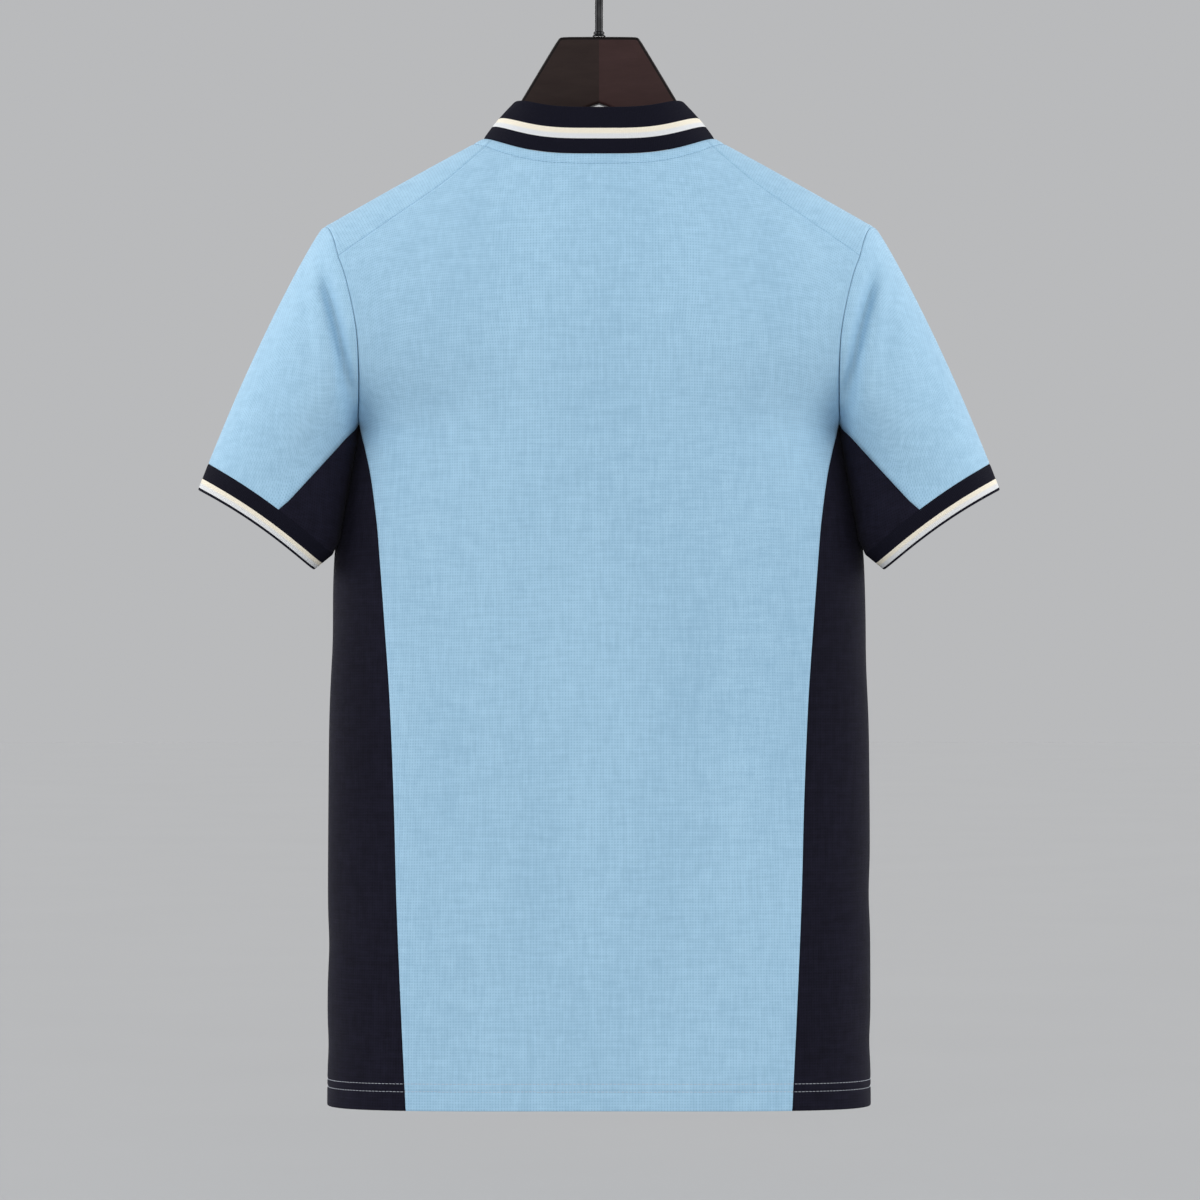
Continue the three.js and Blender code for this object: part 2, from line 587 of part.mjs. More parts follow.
const { main, gusset, cuff } = sleeve();
const side = sidePanel();
const cloths = [
  { name: 'back_panel', cloth: sheet(backPanel(), torsoCentre, 'torso'), wall: BODY_WALL, paint: 'sky' },
  { name: 'front_panel', cloth: sheet(frontPanel(), torsoCentre, 'torso'), wall: BODY_WALL, paint: 'sky' },
  { name: 'collar', cloth: sheet(collar(), neckCentre, 'collar'), wall: RIB_WALL, paint: 'navy' },
];
for (const [label, mirror] of [['left', false], ['right', true]]) {
  cloths.push(
    { name: `side_panel_${label}`, cloth: sheet(side, torsoCentre, 'torso', mirror), wall: BODY_WALL, paint: 'navy' },
    { name: `sleeve_${label}`, cloth: sheet(main, sleeveCentre, 'arm', mirror), wall: BODY_WALL, paint: 'sky' },
    { name: `gusset_${label}`, cloth: sheet(gusset, sleeveCentre, 'arm', mirror), wall: BODY_WALL, paint: 'navy' },
    { name: `cuff_${label}`, cloth: sheet(cuff, sleeveCentre, 'arm', mirror), wall: RIB_WALL, paint: 'navy' },
  );
}
shareNormals(cloths.map((piece) => piece.cloth));
for (const piece of cloths) place(piece.name, wall(piece.cloth, piece.wall), piece.paint);

place('hanger', hanger(), 'wood');
place('hook', hook(), 'steel');
place('ferrule', ferrule(), 'steel');

export default jersey;
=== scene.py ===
# A short-sleeved football jersey, filled out with no wearer, on a plain wooden hanger.
# Lengths are in millimetres until a mesh is made. +Z is up, the back faces +Y, the wearer's left is +X.
# Heights are from the high shoulder point, which lies HANG_TO_NECK below the hang point.
import math

import bpy
import numpy as np
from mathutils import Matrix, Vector
from mathutils.bvhtree import BVHTree


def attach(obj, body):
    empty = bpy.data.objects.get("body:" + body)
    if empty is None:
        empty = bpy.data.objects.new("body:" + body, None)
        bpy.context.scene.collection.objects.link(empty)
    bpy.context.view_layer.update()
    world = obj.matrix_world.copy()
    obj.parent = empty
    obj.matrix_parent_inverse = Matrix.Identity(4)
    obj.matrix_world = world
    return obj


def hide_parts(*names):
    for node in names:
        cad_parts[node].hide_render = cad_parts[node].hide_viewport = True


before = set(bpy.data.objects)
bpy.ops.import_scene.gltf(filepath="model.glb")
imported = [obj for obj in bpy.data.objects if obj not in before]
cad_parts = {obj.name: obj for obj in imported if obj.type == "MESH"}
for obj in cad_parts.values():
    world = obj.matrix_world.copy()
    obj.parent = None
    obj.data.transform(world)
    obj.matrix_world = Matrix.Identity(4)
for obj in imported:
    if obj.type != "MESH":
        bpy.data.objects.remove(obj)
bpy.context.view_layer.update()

MM = 0.001
HANG_TO_NECK = 155.0

# Walls of the shown cloth, and the gap at its seams.
CLOTH_WALL = 1.0
RIB_WALL = 1.9
SEAM_GAP = 0.04
METAL_GAP = 0.3

# The torso is a rounded tube below and closes over the shoulder ridge above.
ROUNDNESS = 2.3
SHOULDER_FALL = 180.0
RIDGE_APEX = 56.3
RIDGE_SLOPE = 0.585
RIDGE_ROUNDING = 45.0
ARMPIT = -212.0
CORNER_TURN = math.radians(84)

# Half width of the torso at its side, by height.
SIDE = [
    (-711, 200.2), (-450, 199), (-354, 196.5), (-306, 194.8), (-280, 191.7), (-258, 187.2),
    (-240, 183.5), (-225, 180.2), (-212, 178), (-194, 193), (-173, 235), (-144, 325), (-110, 470), (-60, 700),
]

# Depth of the back and of the front from the side line, by height.
BACK_DEPTH = [(-711, 84), (-500, 82), (-260, 90), (-100, 90)]
FRONT_DEPTH = [(-711, 88), (-500, 88), (-260, 98), (-100, 98)]

# Half width of the back and front panels by height: side seams up to the armpit, then the armhole.
PANEL_EDGE = [
    (-711, 140), (-629, 144), (-557, 147), (-484, 149), (-412, 152), (-354, 156), (-307, 159.5),
    (-284, 161.5), (-249, 166.5), (-229, 171.2), (-210, 176.2), (-194, 174.8), (-173, 173.9),
    (-144, 175.3), (-110, 182.4), (-89.5, 189.7), (-65.5, 203.2),
]
HEM_MIDDLE, HEM_SIDE = -707.5, -711.0
TIP_RIDGE = (203.2, -65.5)
TIP_SEAM = (189.7, -89.5)

# The neck seam: half width, how far round from the ridge it goes behind and in front, in degrees, and
# how late it drops.
NECK_HALF, NECK_BACK, NECK_FRONT, NECK_LATE = 85.0, 41.8, 69.5, 1.12
SEAM_END = math.radians(23.5)

# The shoulder seam lies behind the ridge: its turn from the ridge in degrees, by half width.
SHOULDER_SEAM = [
    (NECK_HALF * math.cos(SEAM_END), NECK_BACK * math.sin(SEAM_END) ** NECK_LATE),
    (87, 19.8), (112, 27.0), (150, 31.0), (189.7, 34.4),
]

# The collar stands this way at its sides, at the back and at the front.
COLLAR_HEIGHT, COLLAR_BOW = 35.0, 1.2
COLLAR_SIDE, COLLAR_BACK, COLLAR_FRONT = (-23, 0, 27), (0, -6, 34.4), (0, 18, 30)

# The cuff seam and the cuff's end: outer and inner points of each loop in the plane of the jersey.
CUFF_SEAM = {"outer": (287.7, -239.1), "inner": (194.4, -305.8), "depth": 55.0, "arch": 4.0}
CUFF_END = {"outer": (295.2, -258.5), "inner": (208.8, -317.4), "depth": 51.5, "arch": 4.0}
CUFF_HEIGHT = 24.0
GUSSET_AT_CUFF = math.radians(98.5)
SLEEVE_CROWN = 5.5

# The sleeve's inner line lies this far behind the body's widest line and draws in beside it.
LEAN_BACK, LEAN_WITHIN, LEAN_INWARD, LEAN_FROM = 25.0, 0.18, 3.0, -0.03
AXIS_TOP, AXIS_CUFF = np.array([182.0, 0, -135]), np.array([242.0, 0, -272])

# Broad soft troughs of the torso: face, foot, head, width and depth. A negative depth is a ridge.
BODY_FOLDS = [
    (1, (136, -560), (100, -120), 26, 2.0),
    (1, (-140, -520), (-108, -130), 24, 1.8),
    (1, (12, -700), (4, -170), 40, 1.8),
    (1, (-60, -700), (-84, -440), 30, 1.2),
    (-1, (112, -600), (124, -190), 30, 2.8),
    (-1, (-98, -650), (-130, -200), 30, 2.4),
    (-1, (20, -690), (-30, -300), 36, 2.0),
]
FOLD_FADE = 25.0

# Smaller creases of the torso, laid over the troughs: face, foot, head, width, depth and sideways bow.
BODY_CREASES = [
    (1, (162, -176), (168, -96), 5.0, 0.55, -3),
    (1, (150, -190), (158, -110), 7.0, 0.40, -4),
    (1, (-160, -186), (-167, -104), 5.5, 0.50, 3),
    (1, (-146, -200), (-156, -122), 8.0, 0.35, 4),
    (1, (74, -640), (66, -250), 22.0, -1.4, 5),
    (1, (-72, -610), (-70, -210), 24.0, -1.3, -4),
    (1, (120, -330), (112, -215), 12.0, 0.5, 3),
    (1, (-126, -350), (-118, -230), 13.0, 0.5, -3),
    (1, (96, -700), (88, -590), 15.0, 1.2, 2),
    (1, (-104, -702), (-98, -580), 17.0, 1.0, -2),
    (-1, (150, -300), (158, -130), 9.0, 1.0, -6),
    (-1, (-146, -310), (-156, -140), 10.0, 1.1, 6),
    (-1, (132, -260), (96, -110), 12.0, 0.9, 8),
    (-1, (-128, -270), (-92, -120), 13.0, 0.8, -8),
    (-1, (70, -660), (60, -330), 20.0, -0.9, 5),
    (-1, (-64, -640), (-70, -300), 22.0, -0.8, -5),
    (-1, (34, -150), (60, -40), 10.0, 0.6, -6),
    (-1, (-30, -160), (-58, -46), 10.0, 0.5, 6),
]

# Slanting soft folds of the side panels: side, start and end as (share round, height), width and depth.
SIDE_CREASES = [
    (1, (-0.7, -640), (0.8, -545), 15, 1.1),
    (1, (-0.8, -700), (0.7, -640), 13, 0.8),
    (1, (-0.6, -420), (0.6, -330), 18, 0.8),
    (1, (-0.5, -300), (0.5, -238), 10, 0.9),
    (-1, (-0.8, -600), (0.7, -520), 16, 1.0),
    (-1, (-0.6, -694), (0.8, -628), 12, 0.9),
    (-1, (-0.7, -450), (0.5, -350), 18, 0.7),
    (-1, (-0.5, -290), (0.5, -236), 10, 0.8),
]

# Soft folds of the left sleeve, written as the torso's creases are.
SLEEVE_FOLDS = [
    (1, (179.5, -216), (206, -84), 5.2, 11.0, -5),
    (1, (204, -200), (213, -94), 7.0, 1.5, 2),
    (1, (198, -184), (209, -100), 4.5, -0.8, 0),
    (1, (226, -236), (246, -170), 10.0, 0.7, 3),
    (1, (244, -246), (232, -150), 12.0, 0.5, -4),
    (-1, (180, -216), (204, -88), 7.0, 5.5, -4),
    (-1, (208, -206), (219, -112), 8.0, 1.8, 3),
    (-1, (199, -190), (211, -104), 5.0, -0.8, 1),
    (-1, (236, -240), (250, -160), 11.0, 0.9, 4),
]

# Hem and neck stitching: how far each row is from its edge, and its stitches.
HEM_ROWS, HEM_DENTS = (14.0, 19.6), (0.55, 0.2)
HEM_TURN_UP = 20.5
NECK_ROW = 8.5
STITCH = {"pitch": 2.9, "gap": 0.35, "radius": 0.18}

# Rolled edges at the seams: how deep and how wide, and the small welt beside them.
ROLL_DEPTH, FLAT_ROLL, ROLL_WIDTH = 0.45, 0.2, 1.8
WELT, WELT_AT, WELT_WIDTH = 0.22, 2.5, 0.9

# Ribs of the collar and cuffs.
RIB_PITCH, RIB_DEPTH, RIB_COLUMNS = 1.45, 0.26, 4
COLLAR_STRIPE = (0.314, 0.425, 0.536)
CUFF_STRIPE = (0.57, 0.735, 0.90)
STRIPE_BLEND = 1.1

# The hanger: its sloping neck, then its underside, thickness and bevel by half width.
WOOD_TOP, WOOD_HALF, WOOD_SLOPE, WOOD_ROUND = 75.0, 29.2, 0.597, 2.4
HANGER_UNDER = [(0, 25.8), (9, 22.6), (30, 12), (60, -10), (90, -34), (130, -56), (187, -85)]
HANGER_THICK = [(0, 14), (9, 14), (30, 14), (60, 15), (90, 18), (130, 26), (187, 38)]
HANGER_BEVEL = [(0, 2.4), (9, 2.4), (30, 2.4), (60, 2.4), (90, 3), (130, 5), (187, 8)]
HANGER_TIP = 180.0
HANGER_CLEARANCE = 1.2
SOLID_WALL = 1.5
WIRE, HOOK_RADIUS = 6.4, 21.0
FERRULE = {"height": 4.0, "foot": 9.9, "top": 8.6}

# The camera stands level, this far behind the jersey, and sees this width there.
CAMERA = {"place": (-0.74, 3500.0, -494.55), "field": 884.4, "sensor": 36.0}
FLOOR_DROP = 150.0

# Three broad lights on each side of the jersey: azimuth from the back's side, height and strength.
WORLD = 0.5
SUNS = [
    ("back", 0, 4, 0.78), ("back_left", 72, 12, 1.42), ("back_right", -70, 12, 1.36),
    ("front", 180, 4, 0.8), ("front_left", 122, 24, 1.0), ("front_right", -124, 24, 1.0),
]
SUN_WIDTH = 45


def curve(rows, at):
    """A smooth curve through rows of (place, value), level past its ends."""
    place, value = np.array(rows, float).T
    bend = np.empty_like(value)
    bend[0] = (value[1] - value[0]) / (place[1] - place[0])
    bend[-1] = (value[-1] - value[-2]) / (place[-1] - place[-2])
    bend[1:-1] = (value[2:] - value[:-2]) / (place[2:] - place[:-2])
    at = np.clip(at, place[0], place[-1])
    i = np.clip(np.searchsorted(place, at, side="right") - 1, 0, len(place) - 2)
    width = place[i + 1] - place[i]
    t = (at - place[i]) / width
    rise = (value[i + 1] - value[i]) * t * t * (3 - 2 * t)
    return value[i] + rise + width * t * (1 - t) * ((1 - t) * bend[i] - t * bend[i + 1])


def ramp(t):
    t = np.clip(t, 0, 1)
    return t * t * (3 - 2 * t)


def mix(a, b, t):
    return a + (b - a) * t


def graded(length, start=(), end=(), step=4.0):
    """Shares along a stretch: at the given distances from its start and end, even steps between."""
    first = sorted({0.0, *start})
    last = sorted({0.0, *end}, reverse=True)
    low, high = first[-1], length - last[0]
    count = max(int(math.ceil((high - low) / step)), 1)
    middle = np.linspace(low, high, count + 1)[1:-1]
    return np.array([*first, *middle, *(length - d for d in last)]) / length


# Torso


def ridge(x):
    return RIDGE_APEX - RIDGE_SLOPE * np.hypot(x, RIDGE_ROUNDING)


def side_at(z):
    return curve(SIDE, z)


def edge_at(z, top):
    return curve(PANEL_EDGE, np.minimum(z, top))


def fold_depth(folds, x, z, face):
    """How deep a table's folds are at a point. Each runs from its foot to its head and may bow sideways."""
    total = np.zeros(np.broadcast(x, z, face).shape)
    for side, foot, head, width, depth, *bow in folds:
        along = (z - foot[1]) / (head[1] - foot[1])
        line = mix(foot[0], head[0], along) + 4 * sum(bow) * along * (1 - along)
        off = (x - line) / width
        fade = ramp(along / 0.3) * ramp((1 - along) / 0.3)
        total += (face == side) * depth * fade * np.exp(-off * off)
    return total


def torso(x, z, face):
    """The torso's surface on the back (face 1) or the front (face -1)."""
    x, z, face = np.broadcast_arrays(np.asarray(x, float), np.asarray(z, float), np.asarray(face))
    share = np.minimum(np.abs(x) / side_at(z), 1)
    depth = np.where(face > 0, curve(BACK_DEPTH, z), curve(FRONT_DEPTH, z))
    full = depth * (1 - share**ROUNDNESS) ** (1 / ROUNDNESS)
    fade = ramp((edge_at(z, TIP_RIDGE[1]) - np.abs(x)) / FOLD_FADE)
    fall = np.clip((ridge(x) - z) / SHOULDER_FALL, 0, 1)
    fill = np.sqrt(1 - (1 - fall) ** 2)
    y = face * (full - fold_depth(BODY_FOLDS, x, z, face) * fade) * fill
    return np.stack([x, y, z], -1)


def panel_point(share, turn, top):
    """A point of a panel by its share of the panel's half width and its turn down from the ridge."""
    share, turn = np.broadcast_arrays(np.asarray(share, float), np.asarray(turn, float))
    z = np.full(share.shape, float(top))
    for _ in range(30):
        z = ridge(share * edge_at(z, top)) - SHOULDER_FALL * (1 - np.cos(turn))
    return torso(share * edge_at(z, top), z, np.where(turn < 0, -1, 1))


def hem_at(x):
    return mix(HEM_MIDDLE, HEM_SIDE, (x / SIDE[0][1]) ** 2)


def on_ridge(x, turn):
    return torso(x, ridge(x) - SHOULDER_FALL * (1 - np.cos(turn)), 1)


def turn_of(p):
    fall = (ridge(p[..., 0]) - p[..., 2]) / SHOULDER_FALL
    return np.arccos(np.clip(1 - fall, -1, 1))


def neck(around):
    """The neck seam: 0 is the left ridge, a quarter turn the centre back, minus that the front."""
    across, deep = np.cos(around), np.sin(around)
    x = NECK_HALF * across
    turn = np.radians(np.where(deep > 0, NECK_BACK, NECK_FRONT)) * np.abs(deep) ** NECK_LATE
    z = ridge(x) - SHOULDER_FALL * (1 - np.cos(turn))
    return torso(x, z, np.where(deep > 0, 1, -1))


def seam_point(t):
    """The left shoulder seam, from the neck to the armhole."""
    x = mix(SHOULDER_SEAM[0][0], TIP_SEAM[0], np.asarray(t, float))
    return on_ridge(x, np.radians(curve(SHOULDER_SEAM, x)))


def strip_point(t, over):
    """The strip that goes over the ridge to the shoulder seam behind it."""
    t, over = np.broadcast_arrays(np.asarray(t, float), np.asarray(over, float))
    inner, first, seam = neck(SEAM_END * over), seam_point(0), seam_point(t)
    shift = inner[..., 0] - mix(NECK_HALF, first[0], over)
    extra_turn = turn_of(inner) - over * turn_of(first)
    x = mix(mix(NECK_HALF, TIP_RIDGE[0], t), seam[..., 0], over) + shift * (1 - t)
    return on_ridge(x, over * turn_of(seam) + extra_turn * (1 - t))


# How finely each stretch is divided: even steps, and closer ones where cloth is sewn or rolls.
ROLL_STEPS = (0.45, 1.0, 1.7, 2.5, 3.4, 4.6)
FREE_STEPS = (0.08, 0.25, 0.5, 0.9, 1.6)
NECK_STEPS = (*ROLL_STEPS, *np.arange(5.7, 14.1, 0.7), 15.4, 17.4)
HEM_STEPS = (*FREE_STEPS, 4.0, 8.0, 11.0, *np.arange(12.4, 22.1, 0.55), 23.5, 26.0)
BODY_STEP = 4.2

BELOW = graded(497, start=HEM_STEPS, step=BODY_STEP)
ABOVE = graded(125, end=NECK_STEPS, step=BODY_STEP)
ACROSS_SHOULDER = graded(112, start=NECK_STEPS, end=ROLL_STEPS, step=BODY_STEP)
OVER = graded(27, end=ROLL_STEPS, step=3.0)
ROUND_SIDE = graded(130, start=ROLL_STEPS, end=ROLL_STEPS, step=BODY_STEP)
DOWN_SLEEVE = graded(170, start=ROLL_STEPS, end=ROLL_STEPS, step=BODY_STEP)


def panel_grid(necks, shoulders, face, top):
    """A panel from the points of its half neck seam, centre first, and of its left shoulder."""
    ends = np.concatenate([necks, shoulders])
    high = ends[:, 0] / edge_at(ends[:, 2], top)
    count = len(necks)
    low = high.copy()
    low[:count] = high[count - 1] * np.arange(count) / (count - 1)
    turn = turn_of(ends)
    low, high = (np.concatenate([-v[:0:-1], v])[:, None] for v in (low, high))
    turn = np.concatenate([turn[:0:-1], turn])[:, None]
    corner = panel_point(low, face * CORNER_TURN, top)[..., 2]
    z = mix(hem_at(low * PANEL_EDGE[0][1]), corner, BELOW[None, :])
    below = torso(low * edge_at(z, top), z, face)
    t = ABOVE[None, 1:]
    above = panel_point(mix(low, high, t * t), face * mix(CORNER_TURN, turn, t), top)
    return np.concatenate([below, above], 1)


def flipped(grid):
    return grid * np.array([-1, 1, 1])


def back_grids():
    necks = neck(np.linspace(math.pi / 2, SEAM_END, 25))
    shoulders = seam_point(ACROSS_SHOULDER[1:])
    return [panel_grid(necks, shoulders, 1, TIP_SEAM[1])]


def front_grids():
    necks = neck(np.linspace(-math.pi / 2, 0, 45))
    strip = strip_point(ACROSS_SHOULDER[:, None], OVER[None, :])
    main = panel_grid(necks, strip[1:, 0], -1, TIP_RIDGE[1])
    return [main, strip, flipped(strip)]


def side_point(around, z):
    """The side panel's section runs from the back seam (1) round the side (0) to the front (-1)."""
    around, z = np.broadcast_arrays(np.asarray(around, float), np.asarray(z, float))
    half = side_at(z)
    edge = edge_at(z, ARMPIT + 4)
    seam = np.arccos(np.minimum((edge / half) ** (ROUNDNESS / 2), 1))
    x = half * np.cos(around * seam) ** (2 / ROUNDNESS)
    x = np.where(np.abs(around) == 1, edge, x)
    return torso(x, z, np.where(around < 0, -1, 1))


def armpit_at(around):
    corners = [panel_point(1.0, face * CORNER_TURN, TIP_SEAM[1])[2] for face in (-1, 1)]
    return mix(ARMPIT, np.where(around < 0, corners[0], corners[1]), around * around)


def side_grid():
    around = (1 - 2 * ROUND_SIDE)[:, None]
    foot = hem_at(side_point(around, HEM_SIDE)[..., 0])
    return side_point(around, mix(foot, armpit_at(around), BELOW[None, :]))


def side_crease(grid, side):
    """How deep the slanting folds of a side panel are, at each point of its grid."""
    around = (1 - 2 * ROUND_SIDE)[:, None]
    z = grid[..., 2]
    total = np.zeros(z.shape)
    half_round = 65.0
    for of_side, start, end, width, depth in SIDE_CREASES:
        if of_side != side:
            continue
        a, b = (np.array([p[0] * half_round, p[1]]) for p in (start, end))
        run = b - a
        along = ((around * half_round - a[0]) * run[0] + (z - a[1]) * run[1]) / run.dot(run)
        off = (around * half_round - a[0]) * run[1] - (z - a[1]) * run[0]
        off = off / math.hypot(*run) / width
        total += depth * np.exp(-off * off) * ramp(along / 0.3) * ramp((1 - along) / 0.3)
    return total * ramp((1 - np.abs(around)) * half_round / 16)


# Sleeve, gusset and cuff


def cuff_loop(loop, turn):
    """A loop of the cuff: turn 0 is its outer point, 90 degrees its back and 180 its inner point."""
    share = (1 + np.cos(turn)) / 2
    dx, dz = (loop["outer"][i] - loop["inner"][i] for i in (0, 1))
    lift = loop["arch"] * np.sin(turn) ** 2 / math.hypot(dx, dz)
    x = mix(loop["inner"][0], loop["outer"][0], share) - lift * dz
    z = mix(loop["inner"][1], loop["outer"][1], share) + lift * dx
    y = loop["depth"] * np.sin(turn) + LEAN_BACK * (1 - share) ** 2
    return np.stack([x, y, z], -1)


def run_shares(points):
    """Share of the way along a run of points at each of them."""
    steps = np.linalg.norm(np.diff(points, axis=0), axis=1)
    sums = np.concatenate([[0], np.cumsum(steps)])
    return sums / sums[-1]


def sleeve_lines(start, turn, around, face):
    """Lines of the sleeve from armhole points to the cuff seam, crowned and with their folds."""
    t = DOWN_SLEEVE[None, :]
    end = cuff_loop(CUFF_SEAM, turn)
    p = mix(start[:, None, :], end[:, None, :], t[..., None])
    axis = mix(AXIS_TOP, AXIS_CUFF, t[..., None])
    out = p - axis
    out /= np.linalg.norm(out, axis=-1, keepdims=True)
    around, face = around[:, None], face[:, None]
    crown = SLEEVE_CROWN * (1 - around) * t**0.6 * (1 - t) / 0.347
    p = p + out * crown[..., None]
    inward = LEAN_INWARD * around**8 * ramp((t - LEAN_FROM) / 0.1) * ramp((1 - t) / 0.12)
    lean = LEAN_BACK * around**4 * (ramp(t / LEAN_WITHIN) - t)
    trough = fold_depth(SLEEVE_FOLDS, p[..., 0], p[..., 2], face) * ramp(t / 0.06) * ramp((1 - around) / 0.12)
    return p + np.stack([-inward, lean - face * trough, 0 * lean], -1)


def sleeve_grids():
    """The left sleeve and gusset, their lines ending at turns round the cuff seam."""
    strip = strip_point(1.0, OVER)
    seam_turn = turn_of(seam_point(1.0))
    back_turns = mix(float(seam_turn), CORNER_TURN, 1 - ABOVE[::-1])[1:]
    top = np.concatenate([strip, panel_point(1.0, back_turns, TIP_SEAM[1])])
    around = 1 - 2 * ROUND_SIDE
    under = side_point(around, armpit_at(around))
    front = panel_point(1.0, -mix(CORNER_TURN, 0.0, ABOVE), TIP_RIDGE[1])[::-1]
    middle = len(under) // 2
    back_run = run_shares(np.concatenate([top, under[1:middle + 1]]))
    front_run = run_shares(np.concatenate([front, under[::-1][1:middle + 1]]))
    back_share, front_share = back_run[:len(top)], front_run[:len(front)]
    main = sleeve_lines(
        np.concatenate([front[:0:-1], top]),
        np.concatenate([-front_share[:0:-1] / front_share[-1], back_share / back_share[-1]])
        * GUSSET_AT_CUFF,
        np.concatenate([front_share[:0:-1], back_share]),
        np.concatenate([np.full(len(front) - 1, -1), np.full(len(top), 1)]),
    )
    bottom = np.concatenate([top[-1:], under[1:-1], front[-1:]])
    t = run_shares(bottom)
    turns = mix(GUSSET_AT_CUFF, 2 * math.pi - GUSSET_AT_CUFF, t)
    toward = np.where(t < 0.5, mix(back_share[-1], 1, 2 * t), mix(1, front_share[-1], 2 * t - 1))
    gusset = sleeve_lines(bottom, turns, toward, np.where(t < 0.5, 1, -1))
    return main, gusset


def even_turns(loop, pitch):
    """Turns round a closed loop at even steps of about a quarter of a rib."""
    dense = np.linspace(0, 2 * math.pi, 4001)
    share = run_shares(loop(dense))
    length = np.linalg.norm(np.diff(loop(dense), axis=0), axis=1).sum()
    ribs = int(round(length / pitch))
    return np.interp(np.arange(ribs * RIB_COLUMNS + 1) / (ribs * RIB_COLUMNS), share, dense), length


def band_rows(height, stripe, free):
    """Heights of a band's rows as shares, with rows at the stripe's edges."""
    marks = [0.0, *stripe, 1.0]
    rows = [0.0]
    for low, high in zip(marks, marks[1:]):
        count = max(int(math.ceil((high - low) * height / 1.9)), 1)
        rows.extend(np.linspace(low, high, count + 1)[1:])
    close = [d / height for d in ROLL_STEPS[:3]] + [1 - d / height for d in free]
    return np.unique(np.round([*rows, *close], 5))


def collar_grid():
    turns, length = even_turns(neck, RIB_PITCH)
    rows = band_rows(COLLAR_HEIGHT, COLLAR_STRIPE, FREE_STEPS)
    across, deep = np.cos(turns), np.sin(turns)
    side = np.array(COLLAR_SIDE) / np.linalg.norm(COLLAR_SIDE)
    back = np.array(COLLAR_BACK) / np.linalg.norm(COLLAR_BACK)
    front = np.array(COLLAR_FRONT) / np.linalg.norm(COLLAR_FRONT)
    sides = side * np.stack([np.sign(across), np.ones_like(across), np.ones_like(across)], -1)
    middle = np.where((deep > 0)[:, None], back, front)
    lean = sides * (across**2)[:, None] + middle * (deep**2)[:, None]
    lean /= np.linalg.norm(lean, axis=1, keepdims=True)
    out = np.stack([across, deep, np.zeros_like(across)], -1)
    t = rows[None, :, None]
    grid = neck(turns)[:, None] + lean[:, None] * COLLAR_HEIGHT * t
    return grid + out[:, None] * COLLAR_BOW * 4 * t * (1 - t), rows, length


def cuff_grid():
    turns, length = even_turns(lambda turn: cuff_loop(CUFF_SEAM, turn), RIB_PITCH)
    rows = band_rows(CUFF_HEIGHT, CUFF_STRIPE, FREE_STEPS)
    t = rows[None, :, None]
    grid = mix(cuff_loop(CUFF_SEAM, turns)[:, None], cuff_loop(CUFF_END, turns)[:, None], t)
    return grid, rows, length


# Meshes


def surface_uv(grid):
    """Lengths across from the middle column and up from the foot, at each point of a grid."""
    across = np.linalg.norm(np.diff(grid, axis=0), axis=-1)
    across = np.concatenate([np.zeros((1, grid.shape[1])), np.cumsum(across, 0)])
    along = np.linalg.norm(np.diff(grid, axis=1), axis=-1)
    along = np.concatenate([np.zeros((grid.shape[0], 1)), np.cumsum(along, 1)], 1)
    return np.stack([across - across[len(across) // 2], along], -1)


def unit(v):
    return v / np.maximum(np.linalg.norm(v, axis=-1, keepdims=True), 1e-12)


def torso_centre(p):
    return np.stack([0 * p[:, 0], 0 * p[:, 0], np.minimum(p[:, 2], -SHOULDER_FALL)], -1)


def neck_centre(p):
    return np.stack([0 * p[:, 0], 0 * p[:, 0] - 15, p[:, 2] - 8], -1)


def arm_centre(p):
    side = np.where(p[:, :1] < 0, [[-1, 1, 1]], [[1, 1, 1]])
    run = AXIS_CUFF - AXIS_TOP
    t = ((p * side - AXIS_TOP) @ run) / run.dot(run)
    return (AXIS_TOP + t[:, None] * run) * side


def distance_to_edges(points, starts, ends):
    """Distance from each point to the nearest of a set of edges."""
    if len(starts) == 0:
        return np.full(len(points), 1e9)
    run = ends - starts
    square = np.maximum((run * run).sum(1), 1e-12)
    best = np.empty(len(points))
    chunk = 2000
    for i in range(0, len(points), chunk):
        to = points[i:i + chunk, None] - starts[None]
        t = np.clip((to * run).sum(2) / square, 0, 1)
        gap = to - t[..., None] * run
        best[i:i + chunk] = np.sqrt((gap * gap).sum(2).min(1))
    return best


